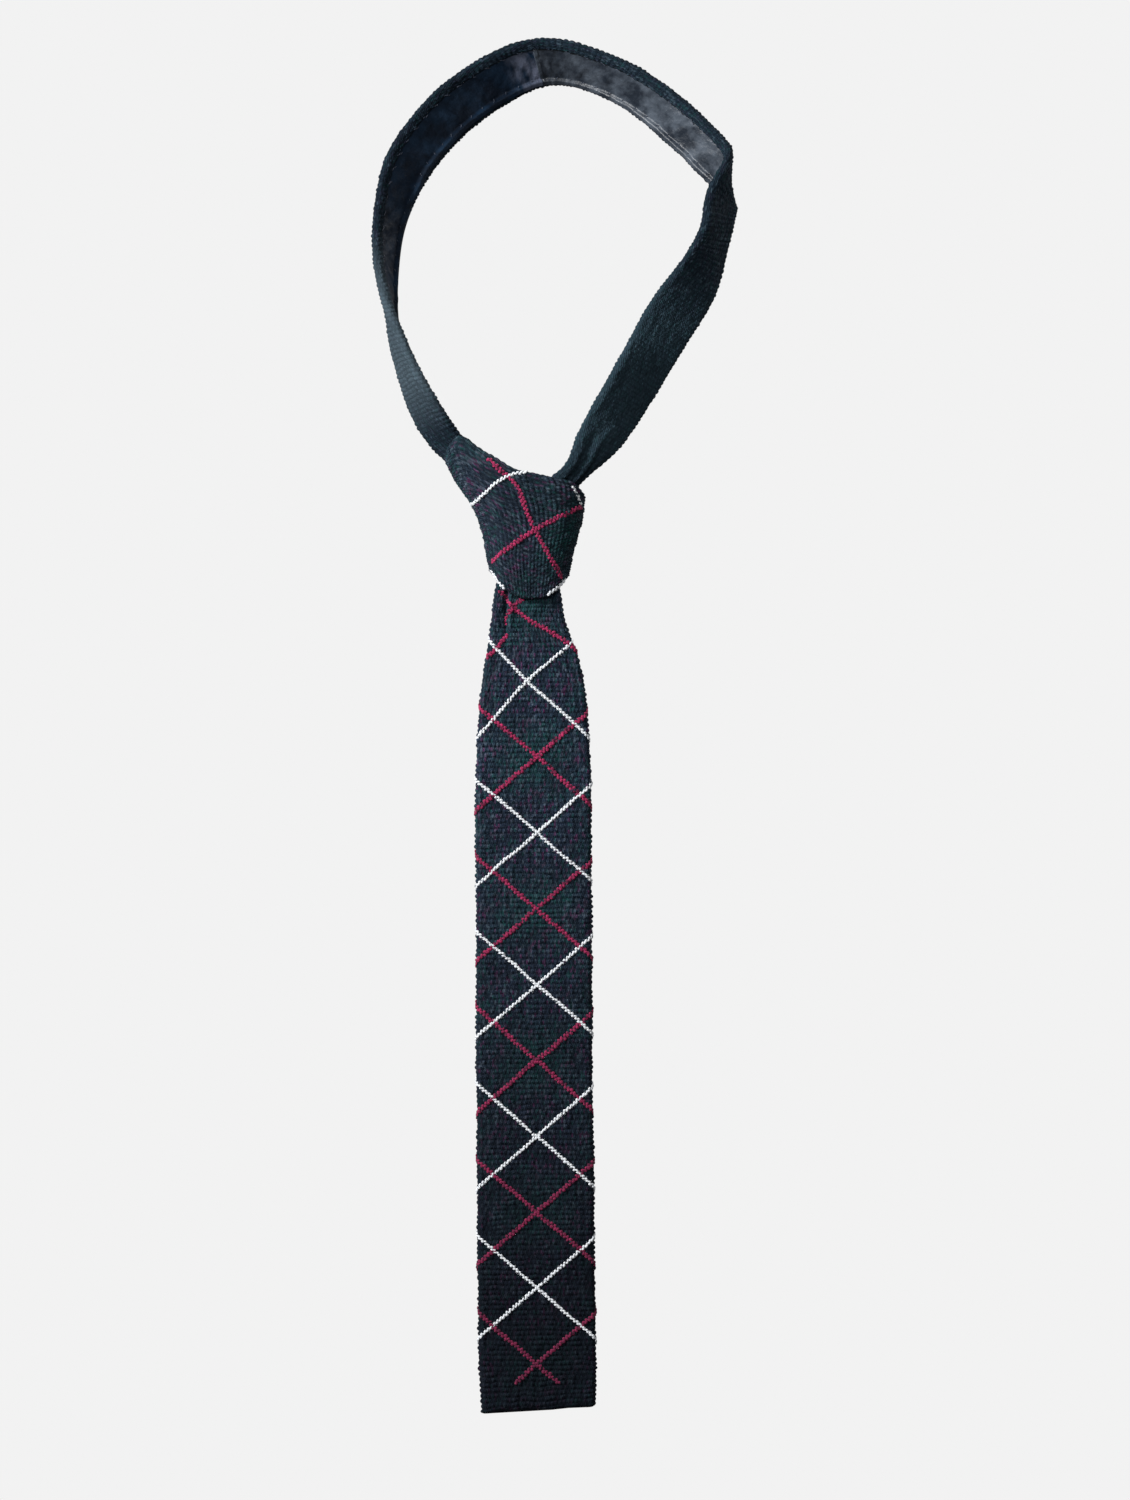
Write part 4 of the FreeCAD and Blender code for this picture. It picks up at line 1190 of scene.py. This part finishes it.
def make_floor():
    angles = np.linspace(0, 2 * math.pi, FLOOR_SIDES, endpoint=False)
    rim = [(FLOOR_RADIUS * math.cos(angle), FLOOR_RADIUS * math.sin(angle), FLOOR_LEVEL) for angle in angles]
    floor = new_mesh("floor", rim, [list(range(FLOOR_SIDES))])
    floor.visible_diffuse = False
    floor.visible_glossy = False
    n = Nodes("pale_floor")
    grain = n.noise(n.add("TexCoord", {})["Object"], 30.0)
    base = n.mix(grain, paint(104, 104, 104), paint(112, 112, 112))
    floor.data.materials.append(n.surface(Base_Color=base, Emission_Color=paint(240, 240, 240),
                                          Emission_Strength=0.9, Roughness=0.8))


def make_camera():
    """Square on to the front, far off, so that the neck loop isn't foreshortened."""
    camera = bpy.data.cameras.new("camera")
    camera.lens = 1200.0
    camera.sensor_width = 36.0
    camera.clip_end = 100.0
    eye = bpy.data.objects.new("camera", camera)
    bpy.context.collection.objects.link(eye)
    eye.location = (0.01195, -23.998, -0.3298)
    eye.rotation_euler = (math.pi / 2, 0, 0)
    bpy.context.scene.camera = eye


# ---- the whole tie


def dress(piece, look, *nodes):
    """Gives a piece its look, and hides the CAD nodes that it replaces."""
    piece.data.materials.append(LOOKS[look])
    if nodes:
        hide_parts(*nodes)
    return piece


def ride_all(body, pieces):
    for piece in pieces:
        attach(piece, body)


def left_blend(piece):
    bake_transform(piece)


def tie_blade():
    """The front blade: its knit, its lining and the overcheck yarns."""
    knit, lining, white, red = make_blade()
    dress(knit, "blade knit", "blade_knit_shell", "blade_interlining", "blade_pass")
    dress(lining, "satin", "blade_lining")
    dress(white, "white", "blade_white_yarns")
    dress(red, "red", "blade_red_yarns")
    for piece in (knit, lining, white, red):
        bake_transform(piece)


def tie_band():
    """The neck band: its right side runs on as the tail."""
    right, left, right_lining, left_lining = make_band()
    dress(right, "right knit", "neck_knit_shell_right", "neck_interlining_right", "tail_pass_knit_shell",
          "tail_pass_interlining", "tail_knit_shell", "tail_interlining")
    dress(left, "left knit", "neck_knit_shell_left", "neck_interlining_left")
    dress(right_lining, "right satin", "neck_lining_right", "tail_pass_lining", "tail_lining")
    dress(left_lining, "left satin", "neck_lining_left")
    for piece in (right, right_lining):
        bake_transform(piece)
    for piece in (left, left_lining):
        left_blend(piece)
    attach(dress(make_back_seam(), "satin", "neck_back_seam"), "neck_loop")


def tie_knot():
    """The knot and what is folded inside it."""
    wrap = dress(make_knot_wrap(), "knot knit", "knot_front_wrap", "knot_back_wrap")
    inner = dress(make_inner_turn(), "right knit", "knot_inner_turn")
    white = join_lines("knot_white_check", lines_along(KNOT_WHITE, knot_face, 60, 300, WHITE_YARN))
    red = join_lines("knot_red_check", lines_along(KNOT_RED, knot_face, 60, 400, RED_YARN))
    dress(white, "white", "knot_white_yarns")
    dress(red, "red", "knot_red_yarns")
    ride_all("knot", (wrap, inner, white, red))


def tie_trim():
    """Keeper, label and thread on the blade and on the tail, and the stitches along the neck band."""
    keeper = dress(make_keeper(), "satin", "keeper_loop")
    label = dress(make_label(), "label", "blank_label")
    blade_tack = dress(bar_tack("blade_tack_thread", "blade_bar_tack"), "thread", "blade_bar_tack")
    tacks = dress(keeper_tacks(), "thread", "keeper_tacks")
    stitches = edge_stitches("blade_slip_stitches", BLADE, BLADE.nearest(-300.0), BLADE.nearest(HEM + 14),
                             9.0, 55)
    dress(stitches, "thread", "blade_lining_stitches")
    ride_all("front_blade", (keeper, label, blade_tack, tacks, stitches))
    tail_tack = dress(bar_tack("tail_tack_thread", "tail_bar_tack"), "thread", "tail_bar_tack")
    stitches = edge_stitches("tail_slip_stitches", TAIL_SIDE, TAIL_SIDE.nearest(-350.0),
                             TAIL_SIDE.length - 14, 9.0, 65)
    dress(stitches, "thread", "tail_lining_stitches")
    ride_all("tail", (tail_tack, stitches))
    right = edge_stitches("neck_slip_stitches_right", TAIL_SIDE, TAIL_SEAM + 6, TAIL_SIDE.nearest(-180.0),
                          8.0, 75)
    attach(dress(right, "thread"), "neck_loop")
    left = edge_stitches("neck_slip_stitches_left", BLADE_SIDE, 40.0, BLADE_SEAM - 6, 8.0, 75)
    left_blend(dress(left, "thread"))


def main():
    make_camera()
    make_world()
    make_floor()
    area_light("key", (-1.35, -0.95, 0.55), (0.0, -0.08, -0.25), 0.45, 44)
    area_light("front", (-0.5, -2.6, 0.5), (0.0, -0.1, -0.3), 1.0, 20)
    area_light("rim", (1.3, 1.1, 0.9), (0.0, -0.05, -0.2), 0.9, 18)
    bpy.context.scene.view_settings.view_transform = "Standard"
    tie_blade()
    tie_band()
    tie_knot()
    tie_trim()


main()
